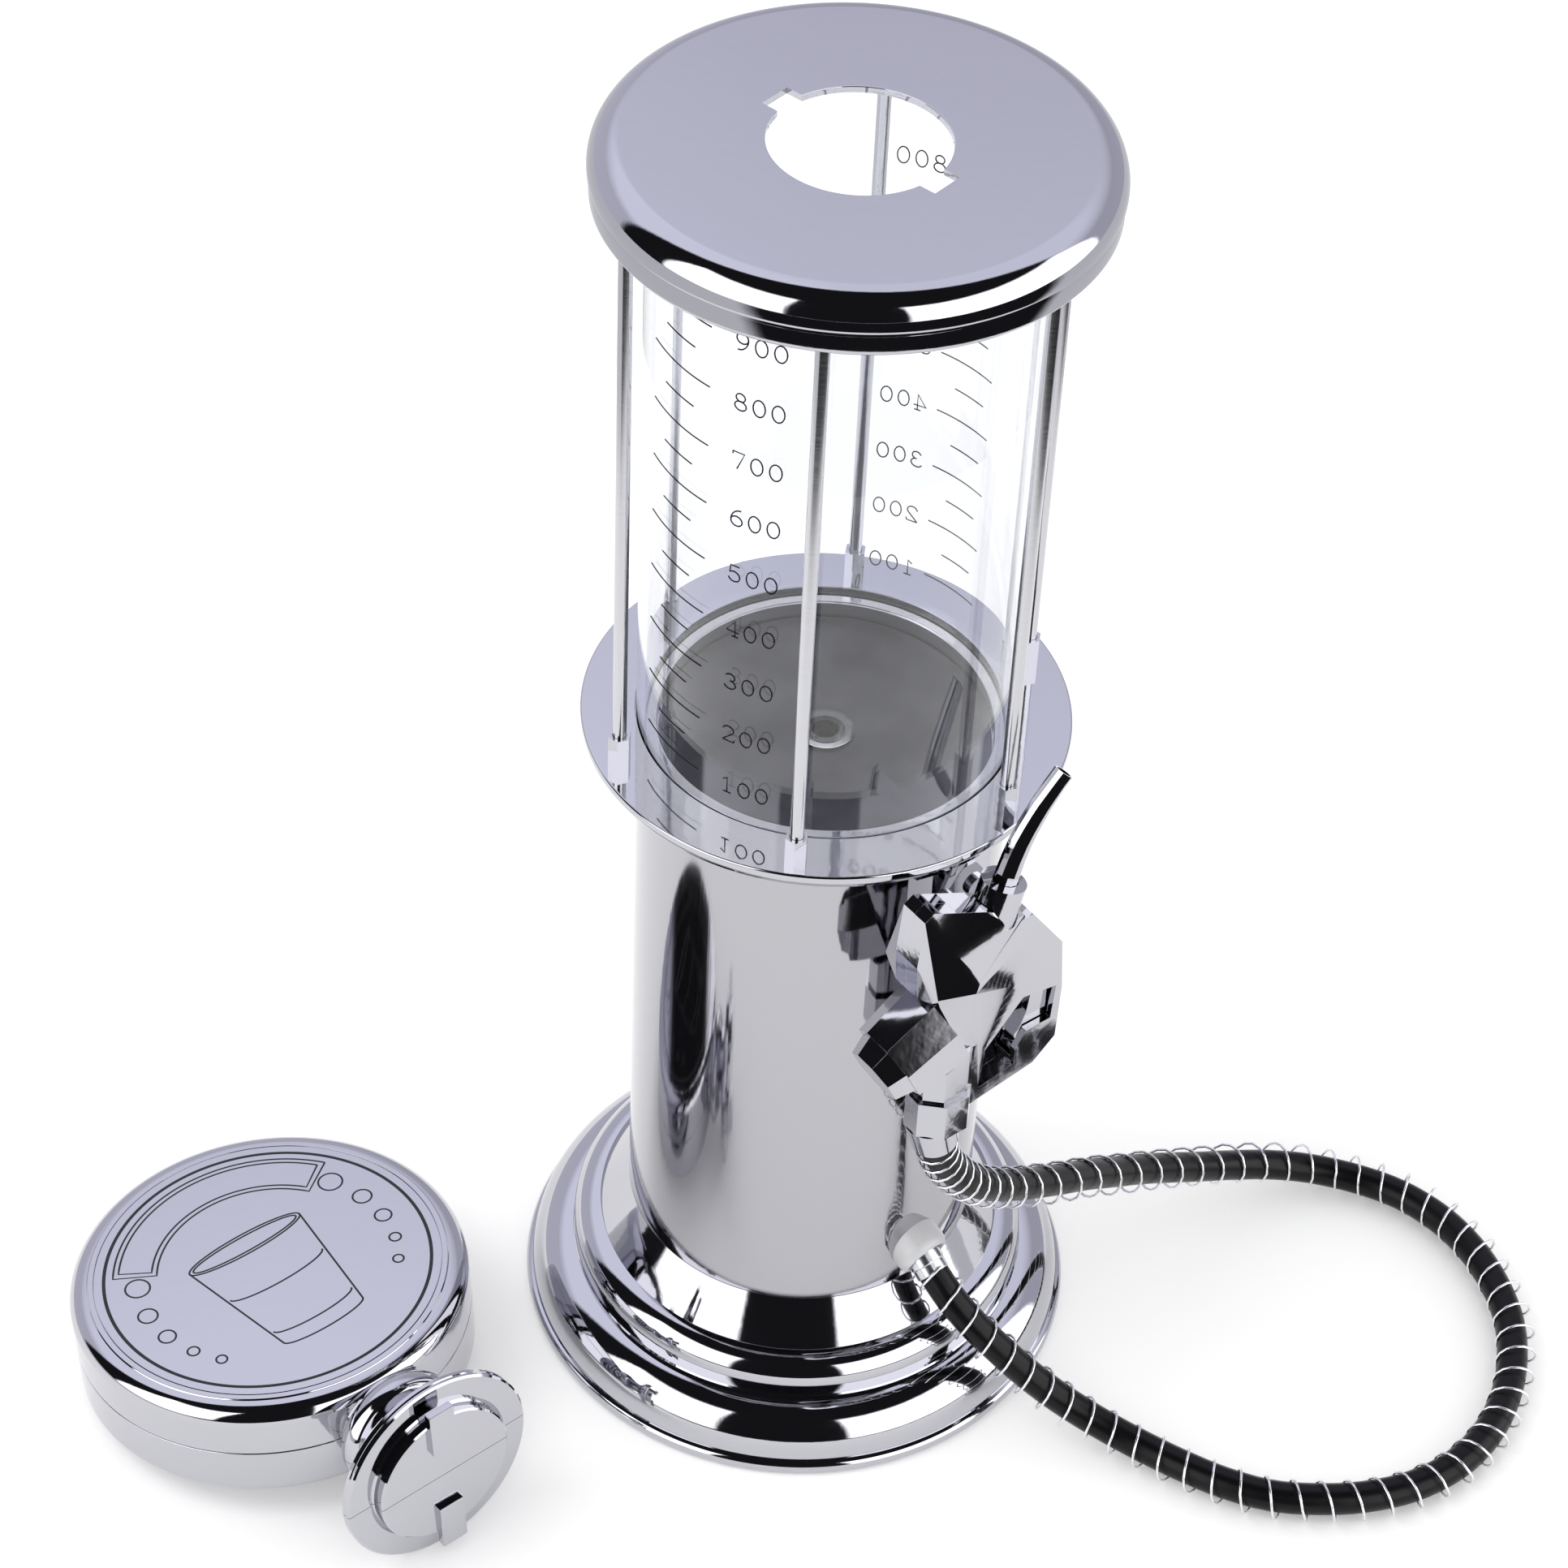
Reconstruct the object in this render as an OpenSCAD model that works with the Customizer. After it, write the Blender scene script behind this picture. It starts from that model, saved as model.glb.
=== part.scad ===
// Countertop drinks dispenser in the form of an old petrol pump.
// Origin at the centre of the base, on the table. +Z is up and the filler nozzle hangs on -Y.
// The round topper is off and lies on the table beside the pump.

/* [Overall] */
// Height of the pump from the table to its cap, without the topper
pump_h = 373.9; // [340:0.1:410]
// Outer diameter of the clear tank tube
tank_d = 93; // [90:0.5:96]

/* [Base] */
// Reach of the base beyond the plain band
base_out = 13.1; // [10:0.1:17]
// Height of the plain lip under the lower step
lip_h = 3; // [2:0.5:4]
// Height of the top of the lower rounded step
lower_step_h = 17.2; // [15:0.2:20]
// Reach of the plain band beyond the crease above it
band_out = 7; // [5:0.5:9]
// Height of the plain band
band_h = 4; // [2:0.5:6]
// Reach of the crease beyond the column
crease_out = 7.75; // [6:0.25:9]
// Height of the upper rounded step
upper_step_h = 6.8; // [5:0.2:9]
// Height of the flared neck that carries the column
neck_h = 11.5; // [9:0.5:14]
// Wall of the base shell
base_wall = 2; // [1.6:0.1:2.4]
// Thickness of the soft pad under the base
pad_t = 1.5; // [1:0.25:2.5]
// Thickness of the bottom plate
bottom_plate_t = 2; // [1.6:0.2:3]
// Thickness of the steel weight
weight_t = 8; // [4:1:14]
// Diameter of the steel weight
weight_d = 90; // [70:1:94]

/* [Column] */
// Step in from the tank's wall to the column
column_step = 0.25; // [0:0.05:1]
// Wall of the column tube
column_wall = 1.5; // [1:0.1:2]

/* [Collar and tank] */
// Reach of the collar beyond the tank
collar_out = 13.6; // [12:0.1:15]
// Thickness of the collar
collar_t = 4.5; // [4.5:0.1:6]
// Wall of the clear tank tube
tank_wall = 2.2; // [1.8:0.1:2.8]
// Length of the clear tank tube
tank_len = 162.9; // [140:0.5:200]
// Thickness of the tank gaskets
gasket_t = 0.8; // [0.6:0.1:1.2]
// Thickness of the tank floor
floor_t = 1.5; // [1.2:0.1:2]
// Fall of the tank floor to its drain
floor_fall = 1.6; // [1:0.1:2.4]
// Bore of the drain
drain_d = 6; // [5:0.5:7]

/* [Tie rods] */
// Diameter of a tie rod
rod_d = 3.4; // [3:0.1:3.8]
// Distance from the tank's wall to the middle of a tie rod
rod_out = 7.4; // [6:0.1:9]
// Direction of the first tie rod, in degrees
rod_angle = 44.8; // [40:0.1:50]
// Height of a rod foot
rod_foot_h = 7; // [5:0.5:9]
// Width across the corners of a rod foot
rod_foot_w = 5.8; // [5.6:0.1:6.2]

/* [Cap] */
// Reach of the cap's rolled rim beyond the tank
cap_out = 12.9; // [12:0.1:15]
// Radius of the cap's rolled rim
cap_roll = 7; // [6.6:0.1:7.4]
// Height of the lip below the rolled rim
cap_lip_h = 7; // [5:0.5:9]
// Thickness of the cap's top
cap_t = 1.6; // [1.4:0.1:2]
// Thickness of the rod plate inside the cap
rod_plate_t = 2.5; // [2:0.1:3]
// Diameter of the filling hole
fill_d = 41.2; // [38:0.2:44]
// Width of a bayonet notch
notch_w = 8.4; // [6:0.2:10]
// Depth of a bayonet notch
notch_depth = 4; // [3:0.2:5]
// Direction of the first bayonet notch, in degrees
notch_angle = -78; // [-90:1:-60]

/* [Hose gland] */
// Height of the gland above the base
gland_up = 10.5; // [10:0.5:18]
// Turn of the gland round the column, in degrees
gland_turn = 3.6; // [0:0.2:6]
// Downward tilt of the gland, in degrees
gland_tilt = 35; // [30:1:38]
// Length of the gland outside the column
gland_len = 8; // [6:0.5:10]
// Diameter of the gland where it meets the column
gland_d = 15; // [14:0.5:16]
// Diameter of the hose over its wire spiral
hose_wrap_d = 10.4; // [8:0.2:10.6]
// Bore of the gland and of the hose fitting
hose_bore = 5; // [4:0.5:6]

/* [Bracket] */
// Width of the nozzle bracket
bracket_w = 18; // [16:0.5:20]
// Depth of the bracket in front of the column
bracket_depth = 7.75; // [6:0.25:9]
// Height of the bracket
bracket_h = 83.8; // [70:0.2:90]
// Wall of the bracket
bracket_wall = 2; // [1.6:0.1:2.4]
// Thickness of the bracket's top ledge
ledge_t = 2.6; // [2:0.1:3.2]
// Reach of the top ledge beyond the bracket's front
ledge_out = 3; // [1:0.5:4]
// Distance between the bracket's screws
screw_gap = 9.8; // [9:0.2:11]
// Distance of the screws below the collar
screw_drop = 15.8; // [13:0.2:18]

/* [Nozzle] */
// Clearance between the bracket and the nozzle's back
nozzle_gap = 1; // [0.6:0.1:3]
// Depth of the nozzle's body
nozzle_depth = 20; // [18:0.5:20]
// Depth of the trigger guard
guard_depth = 9; // [9:0.2:10]
// Width of the octagonal grip
grip_w = 17; // [16:0.5:18]
// Depth of the octagonal grip
grip_depth = 15; // [14:0.5:16]
// Step where the grip's foot stands out from the rest of the grip
grip_step = 1.2; // [0.5:0.1:1.4]
// Length of the valve cap's taper
valve_cap_len = 15.5; // [12:0.5:18]
// Length of the ring at the end of the valve cap
valve_ring_len = 5; // [3:0.5:6]
// Diameter of the spout nut
spout_nut_d = 11.4; // [10.6:0.2:13]
// Height of the spout nut
spout_nut_h = 11; // [10:0.5:12]
// Diameter of the spout at its root
spout_root_d = 6.2; // [6:0.2:7.2]
// Diameter of the spout at its tip
spout_tip_d = 5; // [4.8:0.1:5.8]
// Bore of the spout
spout_bore = 3.8; // [3:0.1:4]
// Diameter of the hose fitting
fitting_d = 13.4; // [12:0.2:14]

/* [Trigger and valve] */
// Width of the trigger
trigger_w = 5; // [4:0.2:5.4]
// Clearance on each side of the trigger
trigger_gap = 0.3; // [0.2:0.05:0.4]
// Diameter of the trigger pin
pin_d = 3; // [2.4:0.1:3.2]
// Diameter of the valve stem
stem_d = 4; // [3.4:0.1:4.4]
// Radial clearance of running fits
run_gap = 0.06; // [0.04:0.01:0.08]
// Radial clearance of fixed pieces in their holes
seat_gap = 0.1; // [0.05:0.01:0.15]
// Diameter of the valve chamber
chamber_d = 13; // [12:0.2:13.4]

/* [Topper] */
// Diameter of the topper's disc
disc_d = 106; // [100:0.5:112]
// Thickness of the topper's disc
disc_t = 29.9; // [26:0.1:32]
// Radius of the rounded rim of the disc
disc_round = 3; // [2:0.2:4]
// Wall of the topper's shells
disc_wall = 2; // [1.6:0.1:2.4]
// Distance of the topper's foot from the middle of the disc
foot_dist = 75.3; // [75:0.1:84]
// Diameter of the topper's foot flange
foot_d = 55.4; // [52:0.2:60]
// Thickness of the foot flange
foot_t = 3; // [2.4:0.1:3.6]
// Radial clearance of the plug in the filling hole
plug_gap = 0.8; // [0.4:0.1:1.2]
// Height of the plug on the foot
plug_h = 3.4; // [2.6:0.1:4]
// Diameter of the face plate let into the disc
face_d = 92; // [80:0.5:94]
// Thickness of the face plate
face_t = 1; // [0.8:0.1:1.2]
// Distance from the base's edge to the middle of the topper, sideways
topper_out = 59.9; // [58:0.1:76]
// Distance of the topper behind the pump's axis
topper_y = 55; // [40:1:70]
// Turn of the topper on the table, in degrees
topper_turn = -87.7; // [-95:0.1:-80]

/* [Hidden] */
$fn = 96;
cut = 0.01;
soft_gap = 0.3;

tank_r = tank_d / 2;
tank_in = tank_r - tank_wall;
column_r = tank_r - column_step;
column_in = column_r - column_wall;
crease_r = column_r + crease_out;
band_r = crease_r + band_out;
base_r = band_r + base_out;
band_top = lower_step_h + band_h;
crease_h = band_top + upper_step_h;
base_h = crease_h + neck_h;
neck_slant = norm([crease_out, neck_h]) / neck_h;
shell_foot = 0.5;
foot_setback = 0.8;
spigot_gap = 0.3;
spigot_r = column_in - spigot_gap;
spigot_wall = 2;
spigot_root = 4;
spigot_h = 3.5;
plate_r = base_r - foot_setback - base_wall - spigot_gap;
plate_top = pad_t + bottom_plate_t;
pad_setback = 2;
boss_r = 3.8;
boss_gap = 3.7;
boss_circle_r = weight_d / 2 + boss_gap + boss_r;
boss_count = 4;
plate_screw_r = 1.4;
plate_screw_head_r = 2.8;
plate_screw_head_h = 1.2;
plate_screw_len = 12;
weight_hole_r = 12;

groove_rise = 1.5;
column_top = pump_h - cap_t - rod_plate_t - tank_len - gasket_t * 2 - groove_rise;
column_len = column_top - base_h;
collar_r = tank_r + collar_out;
collar_top = column_top + collar_t;
collar_round = 2.9;
collar_edge = 0.5;
groove_gap = 0.2;
groove_h = column_top + groove_rise;
tank_foot = groove_h + gasket_t;
tank_top = tank_foot + tank_len;
rim_top = collar_top - 1.3;
floor_r = tank_in - 3.3;
floor_seat_w = 3;
floor_seat_h = rim_top - 5.8;
web_t = 2.7;
collar_spigot_h = 11.8;
drain_flange_r = 7.2;
drain_stem_r = 5;
drain_len = 15;
drain_flange_t = 1.4;
drain_top = floor_seat_h + floor_t - floor_fall;
drain_nut_r = 9;
drain_nut_t = 3;
floor_hole_r = drain_stem_r + seat_gap;

rod_count = 6;
rod_r = rod_d / 2;
rod_circle_r = tank_r + rod_out;
rod_bite = 2.5;
rod_top_bite = 0.8;
rod_nut_h = 3;

cap_r = tank_r + cap_out;
cap_face_r = cap_r - cap_roll;
plate_under = tank_top + gasket_t;
cap_under = plate_under + rod_plate_t;
cap_top = cap_under + cap_t;
cap_roll_h = cap_top - cap_roll;
cap_lip_set = 0.8;
cap_foot = cap_roll_h - cap_lip_h;
rod_plate_r = cap_face_r + 3.8;
rod_plate_in = tank_in - 2;
cap_lip_edge = 1;

gland_bore_r = hose_bore / 2;
gland_stem_r = 5.2;
gland_end_r = 6.4;
gland_stem_len = 14;
gland_nut_r = 8;
gland_nut_t = 3;
gland_nut_at = 9;
gland_axis_turn = gland_turn - 90;
gland_dir = [cos(gland_tilt) * cos(gland_axis_turn), cos(gland_tilt) * sin(gland_axis_turn),
             -sin(gland_tilt)];
gland_pos = [column_r * cos(gland_axis_turn), column_r * sin(gland_axis_turn),
             base_h + gland_up];

bracket_gap = 0.05;
bracket_front = column_r + bracket_depth;
bracket_root = column_r - 16.25;
bracket_foot = column_top - bracket_h;
ledge_half_w = 15;
ledge_reach = bracket_front + ledge_out;
screw_h = column_top - screw_drop;
bracket_screw_r = 1.4;
bracket_head_r = 3;
bracket_head_t = 1.2;
bracket_screw_len = 12;

// The nozzle is drawn in its own plane: x to its right, y up, both from the pump's origin.
// Its heights are drawn for a collar whose underside lies at drawn_top, and move with the real one.
drawn_top = 203.8;
nozzle_shift = column_top - drawn_top;
nozzle_out = bracket_front + nozzle_gap + nozzle_depth / 2;
spigot_plug_w = 10;
spigot_plug_h = 14;
spigot_plug_z = 165;
spigot_plug_reach = 3;
grip_x = -11;
grip_foot = 125.5;
grip_wide_z = 137;
grip_top = 152;
grip_chamfer = 5;
body_slab = 8;
body_outline = [[-25, 189], [-23.6, 203.2], [-21, 205], [-5, 196.5], [8, 188], [10, 180], [6, 165], [-3, 149],
                [-14, 149], [-24, 174]];
body_face = [[-22.4, 182], [-20, 199], [-7.6, 181], [-9, 174], [-13, 168.6]];
guard_outline = [[-6, 129.5], [15.4, 132.6], [22, 138.4], [22.6, 155.5], [21, 172], [10.4, 187.4], [-6, 187.4]];
guard_window = [[-2.2, 134.2], [14.6, 137], [19.4, 141.2], [20.6, 157], [10, 159], [-1, 147]];
ear_outline = [[9.4, 133], [15.4, 132.6], [22, 138.4], [22.3, 146], [12, 146], [9, 141]];
half_box = [80, 40, 150];
half_box_foot = 80;
valve_tilt = 25;
valve_root = [-13.8, 161.8];
valve_root_size = [24, 21.4];
valve_end_size = [21, 19.4];
valve_corner = 0.3;
valve_ring_size = [18, 16.8];
valve_ring_end = [15, 14];
valve_face_reach = 8;
valve_joint = 0.02;
chamber_front = 4;
chamber_end_t = 1;
chamber_back = valve_cap_len - chamber_end_t;
stem_past = 3;
stem_tail = 2;
stem_collar_at = 1.6 - chamber_front;
stem_collar_r = 5;
stem_collar_t = 2;
seal_at = 0.3 - chamber_front;
seal_t = 1.2;
seal_lip = 0.6;
spring_wire = 0.9;
spring_gap = 0.2;
spring_at = stem_collar_at + stem_collar_t + spring_gap;
nut_foot = [0.9, 188.4];
nut_lean = 15.4;
nut_floor = 1;
nut_seat_depth = 20;
spout_foot = 2;
spout_inlet = 14;
spout_set = 0.5;
spout_path = [[0, 0, 0], [0, 0, 11.4], [0.15, 0, 15.8], [0.65, 0, 20.4], [1.4, 0, 24], [2.4, 0, 27.5],
              [3.4, 0, 30.5], [4.6, 0, 33.3], [6, 0, 36.3], [7.4, 0, 39]];
spout_sides = 12;
grip_bore_len = 27;
fitting_lean = 14;
fitting_drop = 8;
fitting_len = 12;
fitting_taper = 0.6;
trigger_pivot = [14, 139.5];
pivot_room = 5.2;
trigger_outline = [[10.2, 138], [12, 135.8], [16.5, 135.6], [18.6, 138.2], [19.6, 150], [19.4, 158],
                   [18.6, 168], [14, 173.4], [12.6, 169.6], [14.8, 160], [13.4, 150], [10.8, 143]];
trigger_nose = [10.6, 172.6];
trigger_nose_r = 2;
trigger_nose_root = [[12.6, 169.6], [14, 173.4]];
slot_outline = [[4.4, 175.4], [4.4, 167.6], [8.6, 160], [8.2, 155], [20, 155], [19.9, 168], [14.6, 175.4]];
valve_out = [cos(valve_tilt), sin(valve_tilt)];
stem_end = (trigger_nose - valve_root) * valve_out - trigger_nose_r - soft_gap;
pin_len = guard_depth - 1;
pin_short = 0.2;

disc_r = disc_d / 2;
foot_r = foot_d / 2;
plug_r = fill_d / 2 - plug_gap;
lug_w = notch_w - 0.8;
lug_reach = fill_d / 2 + notch_depth - 0.5;
lug_foot = cap_t + 0.8;
lug_h = plug_h + 1.6;
topper_x = base_r + topper_out;
lug_root = 5;
neck_disc_r = 13;
neck_bulge_r = 17;
neck_waist_r = 12;
neck_root = disc_r - 8;
neck_len = foot_dist - foot_t - neck_root;
flange_root_r = foot_r * 0.72;
face_gap = 0.15;
topper_screw_r = 1.4;
topper_screw_head_r = 2.8;
topper_screw_circle = disc_r - 11;
topper_boss_r = 4;
topper_screw_sink = 1;
topper_screw_head_t = 2;
topper_screw_short = 6;
topper_skin = 0.5;

// The topper rests on the far lower edge of its disc and on the edge of its foot.
rest_long = foot_dist + disc_r - disc_round;
rest_rise = foot_r - disc_t / 2 + disc_round;
topper_tilt = atan2(rest_rise, rest_long) - asin(disc_round / norm([rest_long, rest_rise]));
topper_z = foot_r * cos(topper_tilt) - foot_dist * sin(topper_tilt);

// Route of the hose, from the gland's mouth over the table and up to the nozzle's fitting.
hose_route = [
    [3.4, -53, 45.2], [4.4, -60, 40.2], [7, -67, 34.4], [11, -74, 28], [15.5, -80.5, 21.5],
    [20.5, -87, 15.5], [25.5, -94, 10.8], [30.5, -102, 7.4], [35, -111, 5.8], [39, -120, 5.5],
    [44, -130, 5.5], [51, -140, 5.5], [60, -148, 5.5], [71, -155, 5.5], [84, -160, 5.5],
    [98, -161.5, 5.5], [112, -159, 5.5], [125, -153, 5.5], [136, -144.5, 5.5], [145, -134, 5.5],
    [151, -122, 5.5], [154.5, -109, 5.5], [155, -96, 5.5], [152, -83, 5.6], [145.5, -71.5, 6],
    [136, -62, 7.8], [125, -56, 11], [113, -53, 15.8], [101, -52, 22], [89, -52, 29.4],
    [77, -52.5, 37], [65, -54, 45], [53, -56, 53.6], [41.6, -58.3, 61.4], [31.5, -60, 68.3],
    [22.5, -61.6, 74.8], [14.6, -63, 81], [8.2, -64, 86.6], [3.2, -64.6, 91.8], [-1, -65, 97],
    [-4.6, -65, 102.4], [-7.6, -65, 107.4], [-9.6, -65, 112.1], [-10.93, -65, 117.2]];
hose_sides = 10;
sweep_up = [0.69, 0.2, 0.69];

// The drain hose inside the column bends from the drain's foot to the gland's inner end.
inner_top = [0, 0, drain_top - drain_len - soft_gap];
inner_end = gland_pos - (gland_stem_len + soft_gap) * gland_dir;
inner_drop = [0, 0, -60];
inner_pull = 45;
inner_steps = 14;
inner_hose_r = 4;
inner_sides = 10;

// Points of an elliptic arc round a centre, from one angle to another
function arc(center, rx, ry, from, to, steps = 10) =
    [for (i = [0:steps]) let (a = from + (to - from) * i / steps) center + [rx * cos(a), ry * sin(a)]];

// Side of the base, from its foot to the column, set in by a wall
function base_side(inset) = concat(
    [[base_r - foot_setback - inset, shell_foot]],
    arc([band_r, lip_h], base_r - band_r - inset, lower_step_h - lip_h - inset, 0, 90),
    inset > 0 ? [[band_r - inset, lower_step_h - inset]] : [],
    arc([crease_r, band_top], band_r - crease_r - inset, upper_step_h - inset, 0, 90),
    [[crease_r - inset * neck_slant, crease_h], [column_r - inset * neck_slant, base_h]]);

// Points of a curve from a to d that leaves towards b and arrives from c
function curve_points(a, b, c, d, steps) =
    [for (i = [0:steps]) let (t = i / steps, u = 1 - t)
        a * u * u * u + b * 3 * u * u * t + c * 3 * u * t * t + d * t * t * t];

function unit(v) = v / norm(v);

function reversed(list) = [for (i = [len(list) - 1:-1:0]) list[i]];

function heading(route, i) = unit(route[min(i + 1, len(route) - 1)] - route[max(i - 1, 0)]);

function ring_at(p, dir, r, sides) =
    let (side = unit(cross(dir, sweep_up)), up = cross(side, dir))
    [for (k = [0:sides - 1]) let (a = 360 * k / sides) p + r * (cos(a) * side + sin(a) * up)];

// Closed round tube along a route, with one radius at each point
module sweep(route, radii, sides) {
    rings = len(route);
    points = [for (i = [0:rings - 1]) each ring_at(route[i], heading(route, i), radii[i], sides)];
    sides_faces = [for (i = [0:rings - 2], k = [0:sides - 1])
        let (n = (k + 1) % sides)
        [i * sides + k, i * sides + n, (i + 1) * sides + n, (i + 1) * sides + k]];
    first = [for (k = [sides - 1:-1:0]) k];
    last = [for (k = [0:sides - 1]) (rings - 1) * sides + k];
    polyhedron(points, concat([first], sides_faces, [last]));
}

module ring(r_out, r_in, h) {
    difference() {
        cylinder(h = h, r = r_out);
        translate([0, 0, -1]) cylinder(h = h + 2, r = r_in);
    }
}

module round_copies(count, start = 0) {
    for (i = [0:count - 1]) rotate([0, 0, start + 360 * i / count]) children();
}

// --- Base ---

module base_pad() {
    color("dimgray") cylinder(h = pad_t, r = plate_r - pad_setback);
}

module bottom_plate() {
    color("#2a2a2c") difference() {
        translate([0, 0, pad_t]) cylinder(h = bottom_plate_t, r = plate_r);
        round_copies(boss_count, 45) translate([boss_circle_r, 0, 0]) {
            cylinder(h = plate_top + 1, r = plate_screw_r + seat_gap);
            cylinder(h = pad_t + plate_screw_head_h, r = plate_screw_head_r + seat_gap);
        }
    }
}

module base_weight() {
    color("slategray") translate([0, 0, plate_top]) ring(weight_d / 2, weight_hole_r, weight_t);
}

module bottom_screws() {
    color("silver") round_copies(boss_count, 45) translate([boss_circle_r, 0, pad_t]) {
        cylinder(h = plate_screw_head_h, r = plate_screw_head_r);
        cylinder(h = plate_screw_len, r = plate_screw_r);
    }
}

module base_bosses() {
    intersection() {
        round_copies(boss_count, 45) translate([boss_circle_r, 0, plate_top])
            cylinder(h = base_h, r = boss_r);
        rotate_extrude() polygon(concat([[0, shell_foot]], base_side(base_wall / 2), [[0, base_h]]));
    }
}

module base_shell() {
    color("gainsboro") difference() {
        union() {
            rotate_extrude() polygon(concat(base_side(0), reversed(base_side(base_wall))));
            translate([0, 0, base_h - spigot_root])
                ring(spigot_r, spigot_r - spigot_wall, spigot_root + spigot_h);
            base_bosses();
        }
        round_copies(boss_count, 45) translate([boss_circle_r, 0, 0])
            cylinder(h = pad_t + plate_screw_len + 1, r = plate_screw_r + seat_gap);
    }
}

// --- Column, gland and drain hose ---

module along_gland(at = 0) {
    translate(gland_pos + at * gland_dir) rotate([0, 0, gland_axis_turn])
        rotate([0, 90 + gland_tilt, 0]) children();
}

module bracket_screw_places() {
    for (side = [-1, 1]) translate([side * screw_gap / 2, 0, screw_h]) rotate([90, 0, 0]) children();
}

module column() {
    color("gainsboro") difference() {
        translate([0, 0, base_h]) ring(column_r, column_in, column_len);
        along_gland(-gland_stem_len) cylinder(h = gland_stem_len * 2, r = gland_stem_r + seat_gap);
        bracket_screw_places() cylinder(h = bracket_front, r = bracket_screw_r + seat_gap);
    }
}

module hose_gland() {
    color("whitesmoke") difference() {
        union() {
            difference() {
                along_gland(-gland_len) cylinder(h = gland_len * 2, r1 = gland_d / 2 + 2, r2 = gland_end_r);
                cylinder(h = column_top, r = column_r + bracket_gap);
            }
            along_gland(-gland_stem_len) cylinder(h = gland_stem_len + gland_len / 2, r = gland_stem_r);
        }
        along_gland(-gland_stem_len - 1)
            cylinder(h = gland_stem_len + gland_len + 2, r = gland_bore_r);
    }
}

module gland_nut() {
    color("silver") along_gland(-gland_nut_at - gland_nut_t) difference() {
        cylinder(h = gland_nut_t, r = gland_nut_r, $fn = 6);
        translate([0, 0, -1]) cylinder(h = gland_nut_t + 2, r = gland_stem_r + seat_gap);
    }
}

module inner_hose() {
    route = curve_points(inner_top, inner_top + inner_drop, inner_end - inner_pull * gland_dir, inner_end,
                         inner_steps);
    color("#3a3a3e") sweep(route, [for (p = route) inner_hose_r], inner_sides);
}

// --- Collar and tank ---

module collar() {
    round_center = [collar_r - collar_round, column_top + collar_round];
    outer_edge = arc(round_center, collar_round, collar_round, -90, 0, 6);
    color("gainsboro") difference() {
        rotate_extrude() polygon(concat(
            [[spigot_r - spigot_wall, column_top - collar_spigot_h],
             [spigot_r, column_top - collar_spigot_h],
             [spigot_r, column_top]],
            outer_edge,
            [[collar_r, collar_top - collar_edge],
             [collar_r - collar_edge, collar_top],
             [tank_r + groove_gap, collar_top],
             [tank_r + groove_gap, groove_h],
             [tank_in - groove_gap, groove_h],
             [tank_in - groove_gap, rim_top],
             [floor_r + soft_gap, rim_top],
             [floor_r + soft_gap, floor_seat_h],
             [floor_r - floor_seat_w, floor_seat_h],
             [floor_r - floor_seat_w, floor_seat_h - web_t],
             [spigot_r - spigot_wall, floor_seat_h - web_t]]));
        round_copies(rod_count, rod_angle) translate([rod_circle_r, 0, collar_top - rod_bite])
            cylinder(h = rod_bite + 1, r = rod_r + seat_gap);
    }
}

module lower_gasket() {
    color("#303034") translate([0, 0, groove_h]) ring(tank_r, tank_in, gasket_t);
}

module upper_gasket() {
    color("#303034") translate([0, 0, tank_top]) ring(tank_r, tank_in, gasket_t);
}

module tank_floor() {
    color("gray") rotate_extrude() polygon([
        [floor_hole_r, drain_top - floor_t],
        [drain_flange_r + 1, drain_top - floor_t],
        [floor_r - floor_seat_w, floor_seat_h],
        [floor_r, floor_seat_h],
        [floor_r, floor_seat_h + floor_t],
        [drain_flange_r + 1, drain_top],
        [floor_hole_r, drain_top]]);
}

module drain_spigot() {
    color("lightsteelblue") rotate_extrude() polygon([
        [drain_d / 2, drain_top - drain_len],
        [drain_stem_r, drain_top - drain_len],
        [drain_stem_r, drain_top],
        [drain_flange_r, drain_top],
        [drain_flange_r, drain_top + drain_flange_t / 2],
        [drain_flange_r - drain_flange_t, drain_top + drain_flange_t],
        [drain_d / 2, drain_top + drain_flange_t / 2]]);
}

module drain_nut() {
    color("silver") translate([0, 0, floor_seat_h - floor_fall - drain_nut_t]) difference() {
        cylinder(h = drain_nut_t, r = drain_nut_r, $fn = 6);
        translate([0, 0, -1]) cylinder(h = drain_nut_t + 2, r = drain_stem_r + seat_gap);
    }
}

module tank_tube() {
    color("azure") translate([0, 0, tank_foot]) ring(tank_r, tank_in, tank_len);
}

// --- Cap and tie rods ---

module rod_plate() {
    color("gainsboro") difference() {
        rotate_extrude() polygon([
            [rod_plate_in, plate_under],
            [rod_plate_r, plate_under],
            [rod_plate_r, plate_under + rod_top_bite],
            [cap_face_r, cap_under],
            [rod_plate_in, cap_under]]);
        round_copies(rod_count, rod_angle) translate([rod_circle_r, 0, plate_under - 1])
            cylinder(h = rod_top_bite + 1, r = rod_r + seat_gap);
    }
}

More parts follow.
